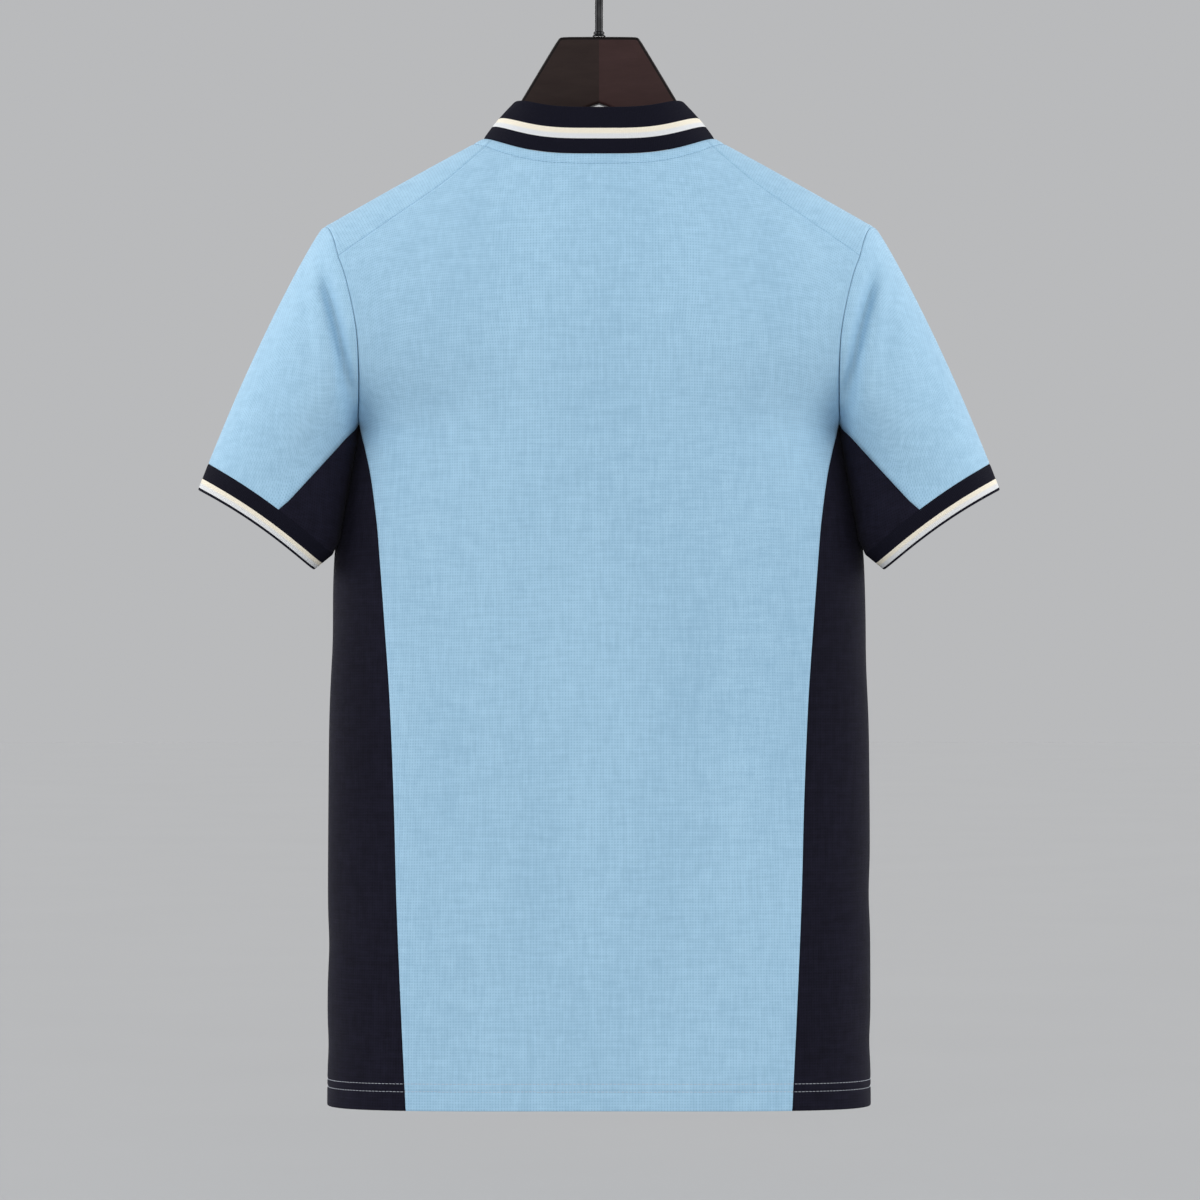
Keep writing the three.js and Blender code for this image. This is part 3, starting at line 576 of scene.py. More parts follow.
class Sheet:
    """A sheet of cloth gathered from grids of points, joined where they share a point."""

    def __init__(self, grids, centre, uvs=None, reliefs=None, bands=None):
        uvs = uvs or [surface_uv(grid) for grid in grids]
        reliefs = reliefs or [np.zeros(grid.shape[:2]) for grid in grids]
        points, corners, relief, faces, band = [], [], [], [], []
        offset = 0
        for grid, uv, low, in zip(grids, uvs, reliefs):
            n, m = grid.shape[:2]
            index = np.arange(n * m).reshape(n, m)
            a, b, c, d = (index[:-1, :-1], index[1:, :-1], index[1:, 1:], index[:-1, 1:])
            cells = np.stack([np.stack([a, b, c], -1), np.stack([a, c, d], -1)], 2).reshape(-1, 3)
            flat = grid.reshape(-1, 3)
            middle = flat[cells].mean(1)
            normal = np.cross(flat[cells[:, 1]] - flat[cells[:, 0]], flat[cells[:, 2]] - flat[cells[:, 0]])
            if (normal * (middle - centre(middle))).sum() < 0:
                cells = cells[:, ::-1]
            faces.append(cells + offset)
            if bands is not None:
                row = np.repeat(np.tile(bands, n - 1), 2)
                band.append(row)
            points.append(flat)
            corners.append(uv.reshape(-1, 2))
            relief.append(low.reshape(-1))
            offset += n * m
        points, corners, relief = (np.concatenate(v) for v in (points, corners, relief))
        faces = np.concatenate(faces)
        self.band = np.concatenate(band) if bands is not None else np.zeros(len(faces), int)
        keys = np.round(points * 200).astype(np.int64)
        _, first, inverse = np.unique(keys, axis=0, return_index=True, return_inverse=True)
        inverse = inverse.reshape(-1)
        joined = inverse[faces]
        whole = (joined[:, 0] != joined[:, 1]) & (joined[:, 1] != joined[:, 2]) & (joined[:, 2] != joined[:, 0])
        self.points, self.relief = points[first], relief[first]
        self.faces, self.corner_uv, self.band = joined[whole], corners[faces[whole]], self.band[whole]
        self.normals = self.vertex_normals(self.points)
        self.rim = self.open_edges()

    def vertex_normals(self, points):
        a, b, c = (points[self.faces[:, i]] for i in range(3))
        face = np.cross(b - a, c - a)
        total = np.zeros_like(points)
        for i in range(3):
            np.add.at(total, self.faces[:, i], face)
        return unit(total)

    def open_edges(self):
        edges = np.concatenate([self.faces[:, [0, 1]], self.faces[:, [1, 2]], self.faces[:, [2, 0]]])
        low = np.sort(edges, 1)
        _, inverse, count = np.unique(low, axis=0, return_inverse=True, return_counts=True)
        return edges[count[inverse.reshape(-1)] == 1]

    def area(self):
        a, b, c = (self.points[self.faces[:, i]] for i in range(3))
        return np.linalg.norm(np.cross(b - a, c - a), axis=1).sum() / 2

    def walls(self, thickness, free, roll_depth, welt):
        """Outer and inner points: the rim drawn in by half the seam gap, edges rolled and rounded."""
        a, b = self.rim[:, 0], self.rim[:, 1]
        inward = unit(np.cross(self.normals[a], self.points[b] - self.points[a]))
        pull = np.zeros_like(self.points)
        np.add.at(pull, a, inward)
        np.add.at(pull, b, inward)
        base = self.points + unit(pull) * SEAM_GAP / 2 * (np.abs(pull).sum(1, keepdims=True) > 0)
        middle = (self.points[a] + self.points[b]) / 2
        is_free = free(middle)
        sewn = distance_to_edges(self.points, self.points[a[~is_free]], self.points[b[~is_free]])
        open_edge = distance_to_edges(self.points, self.points[a[is_free]], self.points[b[is_free]])
        roll = roll_depth * np.clip(1 - sewn / ROLL_WIDTH, 0, 1) ** 2
        roll -= welt * np.exp(-((sewn - WELT_AT) / WELT_WIDTH) ** 2)
        half = thickness / 2
        near = np.clip(1 - open_edge / half, 0, 1)
        rounded = 0.88 * half * (1 - np.sqrt(1 - near**2))
        depth = self.relief + roll
        outer = base - self.normals * (depth + rounded)[:, None]
        inner = base - self.normals * (self.relief + thickness - rounded)[:, None]
        return outer, inner


def new_object(name, vertices, faces, materials, corner_uv=None, slots=None):
    """A mesh object from points in millimetres and equal-sided faces, riding on the root body."""
    mesh = bpy.data.meshes.new(name)
    place = (np.asarray(vertices, float) + np.array([0, 0, -HANG_TO_NECK])) * MM
    faces = np.asarray(faces)
    sides = faces.shape[1]
    mesh.vertices.add(len(place))
    mesh.vertices.foreach_set("co", place.astype(np.float32).ravel())
    mesh.loops.add(faces.size)
    mesh.loops.foreach_set("vertex_index", faces.astype(np.int32).ravel())
    mesh.polygons.add(len(faces))
    mesh.polygons.foreach_set("loop_start", np.arange(0, faces.size, sides, dtype=np.int32))
    mesh.polygons.foreach_set("use_smooth", np.full(len(faces), True))
    if slots is not None:
        mesh.polygons.foreach_set("material_index", np.asarray(slots, np.int32))
    if corner_uv is not None:
        layer = mesh.uv_layers.new(name="cloth")
        layer.data.foreach_set("uv", (np.asarray(corner_uv) * MM).astype(np.float32).ravel())
    for material in materials:
        mesh.materials.append(material)
    mesh.update(calc_edges=True)
    mesh.validate()
    obj = bpy.data.objects.new(name, mesh)
    bpy.context.scene.collection.objects.link(obj)
    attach(obj, "root")
    return obj


def cloth_object(name, sheet, outer, inner, materials):
    """A closed thin shell: the outer wall, the inner wall and the strip round the rim."""
    count = len(outer)
    a, b = sheet.rim[:, 0], sheet.rim[:, 1]
    strip = np.concatenate([np.stack([b, a, count + a], 1), np.stack([b, count + a, count + b], 1)])
    faces = np.concatenate([sheet.faces, sheet.faces[:, ::-1] + count, strip])
    uv_of = np.zeros((count, 2))
    uv_of[sheet.faces.ravel()] = sheet.corner_uv.reshape(-1, 2)
    strip_uv = uv_of[strip % count]
    corner_uv = np.concatenate([sheet.corner_uv, sheet.corner_uv[:, ::-1], strip_uv])
    band_of = np.zeros(count, int)
    band_of[sheet.faces.ravel()] = np.repeat(sheet.band, 3)
    slots = np.concatenate([sheet.band, sheet.band, band_of[strip[:, 0] % count]])
    return new_object(name, np.concatenate([outer, inner]), faces, materials, corner_uv, slots)


# Materials


class Nodes:
    """Short calls for a material's node tree."""

    def __init__(self, name):
        self.material = bpy.data.materials.new(name)
        self.material.use_nodes = True
        self.tree = self.material.node_tree
        self.shader = self.tree.nodes["Principled BSDF"]

    def add(self, kind, **settings):
        node = self.tree.nodes.new(kind)
        for key, value in settings.items():
            setattr(node, key, value)
        return node

    def link(self, source, target):
        self.tree.links.new(source, target)

    def feed(self, socket, value):
        if hasattr(value, "is_output"):
            self.link(value, socket)
        else:
            socket.default_value = value

    def math(self, operation, *values):
        node = self.add("ShaderNodeMath", operation=operation)
        for socket, value in zip(node.inputs, values):
            self.feed(socket, value)
        return node.outputs[0]

    def cloth_uv(self):
        """Lengths in millimetres across and up the cloth."""
        split = self.add("ShaderNodeSeparateXYZ")
        self.link(self.add("ShaderNodeTexCoord").outputs["UV"], split.inputs[0])
        return tuple(self.math("MULTIPLY", split.outputs[i], 1 / MM) for i in (0, 1))

    def place(self):
        return self.add("ShaderNodeTexCoord").outputs["Object"]

    def noise(self, vector, scale, detail=3.0, roughness=0.5, stretch=(1, 1, 1)):
        mapping = self.add("ShaderNodeMapping")
        mapping.inputs["Scale"].default_value = stretch
        self.link(vector, mapping.inputs["Vector"])
        node = self.add("ShaderNodeTexNoise")
        self.link(mapping.outputs[0], node.inputs["Vector"])
        node.inputs["Scale"].default_value = scale
        node.inputs["Detail"].default_value = detail
        node.inputs["Roughness"].default_value = roughness
        return node.outputs["Fac"]

    def ramp_colour(self, value, stops):
        node = self.add("ShaderNodeValToRGB")
        elements = node.color_ramp.elements
        while len(elements) < len(stops):
            elements.new(0.5)
        for element, (place, colour) in zip(elements, stops):
            element.position = place
            element.color = (*colour, 1)
        self.feed(node.inputs[0], value)
        return node.outputs[0]

    def blend(self, share, a, b):
        node = self.add("ShaderNodeMix", data_type="RGBA")
        self.feed(node.inputs[0], share)
        for socket, value in ((node.inputs[6], a), (node.inputs[7], b)):
            self.feed(socket, value if hasattr(value, "is_output") else (*value, 1))
        return node.outputs[2]

    def bump(self, height, strength, distance, onto=None):
        node = self.add("ShaderNodeBump")
        node.inputs["Strength"].default_value = strength
        node.inputs["Distance"].default_value = distance
        self.link(height, node.inputs["Height"])
        if onto is not None:
            self.link(onto, node.inputs["Normal"])
        return node.outputs[0]

    def colour(self, value):
        self.feed(self.shader.inputs["Base Color"], value if hasattr(value, "is_output") else (*value, 1))

    def set(self, **values):
        for key, value in values.items():
            self.feed(self.shader.inputs[key.replace("_", " ")], value)


def linear(r, g, b):
    """A colour given as it looks on a screen, 0 to 255, in linear light."""
    def one(c):
        c = c / 255
        return c / 12.92 if c <= 0.04045 else ((c + 0.055) / 1.055) ** 2.4
    return one(r), one(g), one(b)


def knit_material(name, light, dark, sheen, mesh, wale=1.05, course=0.82, specular=0.25):
    """Jersey knit: columns of small V-shaped stitches, with a staggered mesh of pin holes two wales apart."""
    n = Nodes(name)
    across, up = n.cloth_uv()
    column = n.math("FRACT", n.math("DIVIDE", across, wale))
    off = n.math("ABSOLUTE", n.math("SUBTRACT", column, 0.5))
    slant = n.math("ADD", n.math("DIVIDE", up, course), n.math("MULTIPLY", off, 1.5))
    loops = n.math("SINE", n.math("MULTIPLY", slant, 2 * math.pi))
    wales = n.math("SINE", n.math("MULTIPLY", column, math.pi))
    stitch = n.math("MULTIPLY_ADD", n.math("MULTIPLY", loops, wales), 0.35, n.math("MULTIPLY", wales, 0.5))
    hole_u = n.math("SINE", n.math("MULTIPLY", across, math.pi / (2 * wale)))
    hole_v = n.math("SINE", n.math("MULTIPLY", up, math.pi / (2.5 * course)))
    hole = n.math("POWER", n.math("ABSOLUTE", n.math("MULTIPLY", hole_u, hole_v)), 2.0)
    height = n.math("SUBTRACT", stitch, n.math("MULTIPLY", hole, 0.9))
    place = n.place()
    cloud = n.noise(place, 15.0, detail=3, stretch=(1, 1, 0.3))
    patch_across = n.noise(place, 60.0, detail=3, stretch=(1, 1, 5))
    patch_up = n.noise(place, 60.0, detail=3, stretch=(5, 5, 1))
    patches = n.math("SUBTRACT", n.math("ADD", patch_across, patch_up), 1.0)
    yarn = n.noise(place, 900.0, detail=2)
    shade = n.math("MULTIPLY_ADD", height, mesh, n.math("MULTIPLY", yarn, 0.4))
    shade = n.math("ADD", shade, n.math("MULTIPLY", n.math("SUBTRACT", cloud, 0.5), 0.8))
    shade = n.math("ADD", shade, n.math("MULTIPLY", patches, 0.9))
    n.colour(n.blend(n.math("MULTIPLY_ADD", shade, 0.9, 0.22), dark, light))
    n.set(Roughness=0.82, Sheen_Weight=sheen, Sheen_Roughness=0.45, Specular_IOR_Level=specular)
    soft = n.bump(n.noise(place, 40.0, detail=3), 0.05, 0.004)
    n.set(Normal=n.bump(height, 0.35, 0.00025, soft))
    return n.material


def rib_material(name, yarns, sheen, border=0.0):
    """Rib knit: small stitches along raised ribs. Two yarns meet softly at the border's height."""
    n = Nodes(name)
    across, up = n.cloth_uv()
    column = n.math("FRACT", n.math("DIVIDE", across, RIB_PITCH / 2))
    off = n.math("ABSOLUTE", n.math("SUBTRACT", column, 0.5))
    slant = n.math("ADD", n.math("DIVIDE", up, 0.8), n.math("MULTIPLY", off, 1.3))
    loops = n.math("SINE", n.math("MULTIPLY", slant, 2 * math.pi))
    wales = n.math("SINE", n.math("MULTIPLY", column, math.pi))
    height = n.math("MULTIPLY_ADD", n.math("MULTIPLY", loops, wales), 0.4, n.math("MULTIPLY", wales, 0.5))
    place = n.place()
    yarn = n.noise(place, 1100.0, detail=2)
    cloud = n.noise(place, 14.0, detail=3)
    shade = n.math("MULTIPLY_ADD", height, 0.5, n.math("MULTIPLY", yarn, 0.4))
    shade = n.math("ADD", shade, n.math("MULTIPLY", n.math("SUBTRACT", cloud, 0.5), 0.3))
    shade = n.math("MULTIPLY_ADD", shade, 0.9, 0.1)
    colours = [n.blend(shade, dark, light) for light, dark in yarns]
    if len(colours) > 1:
        share = n.add("ShaderNodeMapRange", interpolation_type="SMOOTHSTEP")
        n.link(n.math("SUBTRACT", up, border), share.inputs["Value"])
        share.inputs["From Min"].default_value = -STRIPE_BLEND
        share.inputs["From Max"].default_value = STRIPE_BLEND
        colours[0] = n.blend(share.outputs[0], colours[0], colours[1])
    n.colour(colours[0])
    n.set(Roughness=0.85, Sheen_Weight=sheen, Sheen_Roughness=0.5, Specular_IOR_Level=0.1)
    n.set(Normal=n.bump(height, 0.4, 0.00025))
    return n.material


def thread_material(name, light, dark):
    """Twisted sewing thread."""
    n = Nodes(name)
    place = n.place()
    twist = n.noise(place, 2200.0, detail=1)
    n.colour(n.blend(twist, dark, light))
    n.set(Roughness=0.55, Sheen_Weight=0.1, Specular_IOR_Level=0.4)
    n.set(Normal=n.bump(twist, 0.3, 0.0001))
    return n.material


def wood_material(name, left, right, roughness):
    """Mahogany stain under satin lacquer. The two halves of the board were cut from different wood."""
    n = Nodes(name)
    place = n.place()
    split = n.add("ShaderNodeSeparateXYZ")
    n.link(place, split.inputs[0])
    half = n.math("LESS_THAN", split.outputs[0], 0.0)
    turned = n.add("ShaderNodeVectorMath", operation="ADD")
    n.link(place, turned.inputs[0])
    shift = n.add("ShaderNodeCombineXYZ")
    for i, size in enumerate((0.31, 0.17, 0.43)):
        n.link(n.math("MULTIPLY", half, size), shift.inputs[i])
    n.link(shift.outputs[0], turned.inputs[1])
    grain = n.noise(turned.outputs[0], 22.0, detail=6, roughness=0.6, stretch=(1.2, 6, 5))
    pores = n.noise(turned.outputs[0], 190.0, detail=3, stretch=(0.5, 5, 4))
    fine = n.noise(turned.outputs[0], 700.0, detail=2, stretch=(0.4, 3, 3))
    streak = n.math("MULTIPLY_ADD", grain, 0.8, n.math("MULTIPLY", pores, 0.2))
    tones = [n.ramp_colour(streak, [(0.30, low), (0.70, high)]) for low, high in (left, right)]
    n.colour(n.blend(half, *tones))
    n.set(Roughness=roughness, Coat_Weight=0.02, Coat_Roughness=0.3, Specular_IOR_Level=0.1)
    n.set(Normal=n.bump(n.math("ADD", fine, n.math("MULTIPLY", pores, 0.8)), 0.08, 0.0003))
    return n.material


def painted_dark_reflection_material():
    """Chromed wire with light handling marks. Its base colour is near black: a painted dark reflection, standing in
    for the dark room that the chrome mirrors.
    """
    n = Nodes("chrome_dark_reflection")
    place = n.place()
    marks = n.noise(place, 130.0, detail=5)
    # Near-black tones: a painted dark reflection in place of the chrome's bright tone; the noise between them gives
    # the handling marks.
    n.colour(n.ramp_colour(marks, [(0.35, (0.018, 0.018, 0.019)), (0.65, (0.032, 0.032, 0.033))]))
    rough = n.math("MULTIPLY_ADD", n.noise(place, 60.0, detail=4), 0.1, 0.06)
    n.set(Metallic=1.0, Roughness=rough)
    n.set(Normal=n.bump(n.noise(place, 420.0, detail=2), 0.04, 0.0002))
    return n.material


def floor_material():
    """A plain pale floor, as bright under the lights as the studio behind it."""
    n = Nodes("floor")
    tone = n.noise(n.place(), 3.0, detail=3)
    n.colour(n.ramp_colour(tone, [(0.3, (0.478, 0.481, 0.486)), (0.7, (0.486, 0.489, 0.494))]))
    n.set(Roughness=0.9, Specular_IOR_Level=0.0)
    return n.material


SKY = knit_material("sky_knit", linear(176, 215, 240), linear(148, 188, 215), 0.10, 0.9)
NAVY = knit_material("navy_knit", linear(30, 29, 44), linear(15, 14, 25), 0.02, 0.6, specular=0.08)
NAVY_YARN = (linear(27, 27, 42), linear(9, 9, 19))
CREAM_YARN = (linear(255, 249, 234), linear(240, 230, 208))
WHITE_YARN = (linear(245, 246, 246), linear(216, 218, 220))
RIB_NAVY = rib_material("navy_rib", [NAVY_YARN], 0.0)
COLLAR_PALE = rib_material(
    "collar_stripe", [WHITE_YARN, CREAM_YARN], 0.1, border=COLLAR_STRIPE[1] * COLLAR_HEIGHT)
CUFF_PALE = rib_material("cuff_stripe", [CREAM_YARN, WHITE_YARN], 0.1, border=CUFF_STRIPE[1] * CUFF_HEIGHT)
THREAD_PALE = thread_material("pale_thread", linear(216, 223, 233), linear(168, 172, 182))
# The neck row's thread is darker than the knit: sky-blue thread, with the painted shade of the groove it lies in.
THREAD_SKY_GROOVE_SHADE = thread_material("sky_thread_groove_shade", linear(136, 178, 206), linear(98, 138, 168))
WOOD = wood_material(
    "dark_wood", (linear(38, 26, 24), linear(47, 35, 32)), (linear(52, 33, 32), linear(62, 42, 41)), 0.45)
# The top bevels take far darker tones than the board: painted shade along the bevels.
WOOD_BEVEL_SHADE = wood_material(
    "dark_wood_bevel_painted_shade", (linear(15, 11, 11), linear(24, 18, 17)), (linear(17, 11, 11), linear(27, 19, 18)), 0.3)


# The jersey's pieces


def at_hem(points):
    return points[:, 2] < hem_at(points[:, 0]) + 1.2


def never(points):
    return np.zeros(len(points), bool)


NECK_LINE = neck(np.linspace(-math.pi, math.pi, 721))


def hem_relief(grid):
    """The dents of the hem's stitch rows, and the ripple that the stitching draws in."""
    above = grid[..., 2] - hem_at(grid[..., 0])
    along = np.concatenate([np.zeros((1, grid.shape[1])),
                            np.cumsum(np.linalg.norm(np.diff(grid, axis=0), axis=-1), 0)])
    dents = sum(dent * np.exp(-((above - row) / 0.9) ** 2) for row, dent in zip(HEM_ROWS, HEM_DENTS))
    ripple = 0.16 * np.sin(along / 2.6 + 0.9 * np.sin(along / 17)) + 0.10 * np.sin(along / 6.1 + 1.3)
    return dents + ripple * np.exp(-((above - 16.5) / 6.5) ** 2)


def neck_relief(grid):
    """The dent of the stitch row below the collar."""
    flat = grid.reshape(-1, 3)
    gap = distance_to_edges(flat, NECK_LINE[:-1], NECK_LINE[1:]).reshape(grid.shape[:2])
    swell = 0.18 * np.exp(-((gap - 4.8) / 2.4) ** 2)
    return 0.5 * np.exp(-((gap - NECK_ROW) / 0.85) ** 2) - swell


def torso_relief(grid, face):
    x, z = grid[..., 0], grid[..., 2]
    edge = edge_at(z, TIP_RIDGE[1] if face < 0 else TIP_SEAM[1])
    fade = ramp((edge - np.abs(x)) / 9) * ramp((z - hem_at(x)) / 40)
    return fold_depth(BODY_CREASES, x, z, face) * fade + hem_relief(grid) + neck_relief(grid)


def hem_thickness(points):
    """The cloth is turned up at the hem, so its wall is double there."""
    above = points[:, 2] - hem_at(points[:, 0])
    return CLOTH_WALL * (1 + 0.8 * (1 - ramp((above - HEM_TURN_UP) / 0.7)))


def sheet_piece(name, sheet, materials, node, thickness, free=never, roll=ROLL_DEPTH, welt=0.0):
    outer, inner = sheet.walls(thickness, free, roll, welt)
    obj = cloth_object(name, sheet, outer, inner, materials)
    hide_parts(node)
    return obj, sheet, outer


def make_body():
    pieces = {}
    backs, fronts = back_grids(), front_grids()
    sheets = {
        "back_panel": Sheet(backs, torso_centre, reliefs=[torso_relief(backs[0], 1)]),
        "front_panel": Sheet(fronts, torso_centre, reliefs=[
            torso_relief(fronts[0], -1), neck_relief(fronts[1]), neck_relief(fronts[2])]),
    }
    for name, sheet in sheets.items():
        thickness = hem_thickness(sheet.points)
        pieces[name] = sheet_piece(name + "_cloth", sheet, [SKY], name, thickness, at_hem, welt=WELT)
    base = side_grid()
    for label, side in (("left", 1), ("right", -1)):
        relief = side_crease(base, side) + hem_relief(base)
        grid = base if side > 0 else flipped(base)
        sheet = Sheet([grid], torso_centre, reliefs=[relief])
        node = "side_panel_" + label
        pieces[node] = sheet_piece(
            node + "_cloth", sheet, [NAVY], node, hem_thickness(sheet.points), at_hem, FLAT_ROLL)
    return pieces


def band_sheet(grid, rows, length, height, stripe, centre):
    """A ribbed band with its stripe: which faces are of navy yarn and which of pale."""
    middles = (rows[:-1] + rows[1:]) / 2
    bands = np.where((middles > stripe[0]) & (middles < stripe[2]), 1, 0)
    columns = np.arange(grid.shape[0])[:, None]
    wave = RIB_DEPTH * 0.5 * np.cos(2 * math.pi * columns / RIB_COLUMNS) + 0 * rows[None, :]
    across = np.linspace(0, length, grid.shape[0])[:, None] + 0 * rows[None, :]
    up = 0 * across + rows[None, :] * height
    return Sheet([grid], centre, uvs=[np.stack([across, up], -1)], reliefs=[-wave], bands=bands)


def make_collar():
    grid, rows, length = collar_grid()
    sheet = band_sheet(grid, rows, length, COLLAR_HEIGHT, COLLAR_STRIPE, neck_centre)

    def free(points):
        gap = distance_to_edges(points, NECK_LINE[:-1], NECK_LINE[1:])
        return gap > COLLAR_HEIGHT / 2
    return sheet_piece("collar_rib", sheet, [RIB_NAVY, COLLAR_PALE], "collar", RIB_WALL, free)


def make_sleeves():
    pieces = {}
    main, gusset = sleeve_grids()
    cuff, rows, length = cuff_grid()
    axis = AXIS_CUFF - AXIS_TOP
    for label, side in (("left", 1), ("right", -1)):
        turned = (lambda g: g) if side > 0 else flipped
        sleeve = Sheet([turned(main)], arm_centre)
        pieces["sleeve_" + label] = sheet_piece(
            f"sleeve_{label}_cloth", sleeve, [SKY], f"sleeve_{label}", CLOTH_WALL)
        under = Sheet([turned(gusset)], arm_centre)
        pieces["gusset_" + label] = sheet_piece(
            f"gusset_{label}_cloth", under, [NAVY], f"gusset_{label}", CLOTH_WALL, roll=FLAT_ROLL)
        band = band_sheet(turned(cuff), rows, length, CUFF_HEIGHT, CUFF_STRIPE, arm_centre)

        def free(points, side=side):
            local = points * np.array([side, 1, 1])
            seam = ((local - AXIS_CUFF) @ axis) / np.linalg.norm(axis)
            loop = cuff_loop(CUFF_END, np.linspace(0, 2 * math.pi, 181))
            gap = distance_to_edges(local, loop[:-1], loop[1:])
            return (gap < 2.0) & (seam > -60)
        pieces["cuff_" + label] = sheet_piece(
            f"cuff_{label}_rib", band, [RIB_NAVY, CUFF_PALE], f"cuff_{label}", RIB_WALL, free)
    return pieces


# Sewing


def stitches(name, line, normals, material, slot):
    """A row of stitches, joined as one mesh, along points that lie on the cloth."""
    share = run_shares(line)
    length = np.linalg.norm(np.diff(line, axis=0), axis=1).sum()
    count = int(length / STITCH["pitch"])
    at = (np.arange(count) + 0.5) / count
    centre = np.stack([np.interp(at, share, line[:, i]) for i in range(3)], -1)
    ahead = np.stack([np.interp(np.minimum(at + 0.3 / count, 1), share, line[:, i]) for i in range(3)], -1)
    behind = np.stack([np.interp(np.maximum(at - 0.3 / count, 0), share, line[:, i]) for i in range(3)], -1)
    along = unit(ahead - behind)
    up = unit(np.stack([np.interp(at, share, normals[:, i]) for i in range(3)], -1))
    across = unit(np.cross(up, along))
    up = np.cross(along, across)
    radius = STITCH["radius"]
    half = (STITCH["pitch"] - STITCH["gap"]) / 2
    profile = [(-1.0, 0.35, -0.9), (-0.78, 0.85, 0.0), (-0.3, 1.0, 0.55), (0.3, 1.0, 0.55), (0.78, 0.85, 0.0), (1.0, 0.35, -0.9)]
    sides = 6
    angles = np.arange(sides) * 2 * math.pi / sides
    local = np.array([[reach * half, size * radius * math.cos(a), radius * (lift + size * math.sin(a))]
                      for reach, size, lift in profile for a in angles])
    points = (centre[:, None] + local[None, :, :1] * along[:, None]
              + local[None, :, 1:2] * across[:, None] + local[None, :, 2:] * up[:, None])
    ring = np.arange(sides)
    after = (ring + 1) % sides
    faces = []
    for i in range(len(profile) - 1):
        low, high = i * sides, (i + 1) * sides
        faces += [np.stack([low + ring, low + after, high + after], 1),
                  np.stack([low + ring, high + after, high + ring], 1)]
    last = (len(profile) - 1) * sides
    fan = np.arange(1, sides - 1)
    faces += [np.stack([0 * fan, fan + 1, fan], 1), np.stack([last + 0 * fan, last + fan, last + fan + 1], 1)]
    one = np.concatenate(faces)
    every = (one[None] + (np.arange(count) * len(local))[:, None, None]).reshape(-1, 3)
    obj = new_object(name, points.reshape(-1, 3), every, [material])
    return obj


def surface_tree(pieces, names):
    """A search tree over the outer walls of some pieces."""
    points, faces, offset = [], [], 0
    for name in names:
        _, sheet, outer = pieces[name]
        points.append(outer)
        faces.append(sheet.faces + offset)
        offset += len(outer)
    return BVHTree.FromPolygons(np.concatenate(points).tolist(), np.concatenate(faces).tolist())


def laid_on(tree, points):
    """The nearest points on a surface, and its normals there."""
    found = [tree.find_nearest(Vector(p)) for p in points]
    return np.array([hit[0] for hit in found]), np.array([hit[1] for hit in found])


def hem_line(height):
    """All round the hem at a height above its edge, from the left side over the back."""
    turn = np.linspace(0, 2 * math.pi, 1441)
    half = SIDE[0][1]
    x = half * np.sign(np.cos(turn)) * np.abs(np.cos(turn)) ** (2 / ROUNDNESS)
    z = hem_at(x) + height
    x = x * side_at(z) / half
    return torso(x, z, np.where(np.sin(turn) >= 0, 1, -1))


def neck_stitch_line():
    """All round the neck, a stitch row's distance outside the collar seam."""
    around = np.linspace(0, 2 * math.pi, 721)
    on, step = neck(around), 1e-3
    along = unit(neck(around + step) - neck(around - step))
    x, z = on[:, 0], on[:, 2]
    face = np.where(np.sin(around) >= 0, 1, -1)
    deeper = torso(x, z - 0.5, face) - torso(x, z, face)
    wider = torso(x + 0.5, z, face) - torso(x, z, face)
    normal = unit(np.cross(deeper, wider))
    outward = unit(np.cross(normal, along))
    flat = np.stack([np.cos(around), np.sin(around), -0.6 + 0 * around], -1)
    outward *= np.sign((outward * flat).sum(1, keepdims=True))
    return on + outward * NECK_ROW


def make_stitching(pieces):
    names = ["back_panel", "front_panel", "side_panel_left", "side_panel_right"]
    tree = surface_tree(pieces, names)
    hems = [stitches(f"hem_stitches_{i + 1}", *laid_on(tree, hem_line(height)), THREAD_PALE, "sky_jersey")
            for i, height in enumerate(HEM_ROWS)]
    line, normals = laid_on(tree, neck_stitch_line())
    # The neck row is sewn in the darker thread, which carries painted groove shade.
    return {"back_panel": hems, "front_panel": [stitches("neck_stitches", line, normals, THREAD_SKY_GROOVE_SHADE, "sky_jersey")]}


def declare_sheets(pieces, sewn):
    """Works out the area of each piece of cloth, and keeps nothing of it."""
    for node, (obj, sheet, _) in pieces.items():
        sheet.area() * MM * MM


# The hanger


def loft(name, rings, materials, edge=()):
    """A closed body through rings of equal count. Its edge columns take the second material."""
    rings = np.asarray(rings)
    n, m = rings.shape[:2]
    index = np.arange(n * m).reshape(n, m)
    a, b = index[:-1], index[1:]
    faces = np.stack([a, b, np.roll(b, -1, 1), np.roll(a, -1, 1)], -1).reshape(-1, 4)
    triangles = np.concatenate([faces[:, [0, 1, 2]], faces[:, [0, 2, 3]]])
    fan = np.arange(1, m - 1)
    first = np.stack([0 * fan, fan, fan + 1], 1)
    last = index[-1, 0] + np.stack([0 * fan, fan + 1, fan], 1)
    faces = np.concatenate([triangles, first, last])
    points = rings.reshape(-1, 3)
    corner = points[faces]
    volume = np.einsum("ij,ij->i", corner[:, 0], np.cross(corner[:, 1], corner[:, 2])).sum()
    columns = np.isin(np.arange(m), edge).astype(int)
    slots = np.concatenate([np.tile(columns, 2 * (n - 1)), np.zeros(2 * (m - 2), int)])
    return new_object(name, points, faces if volume > 0 else faces[:, ::-1], materials, slots=slots)


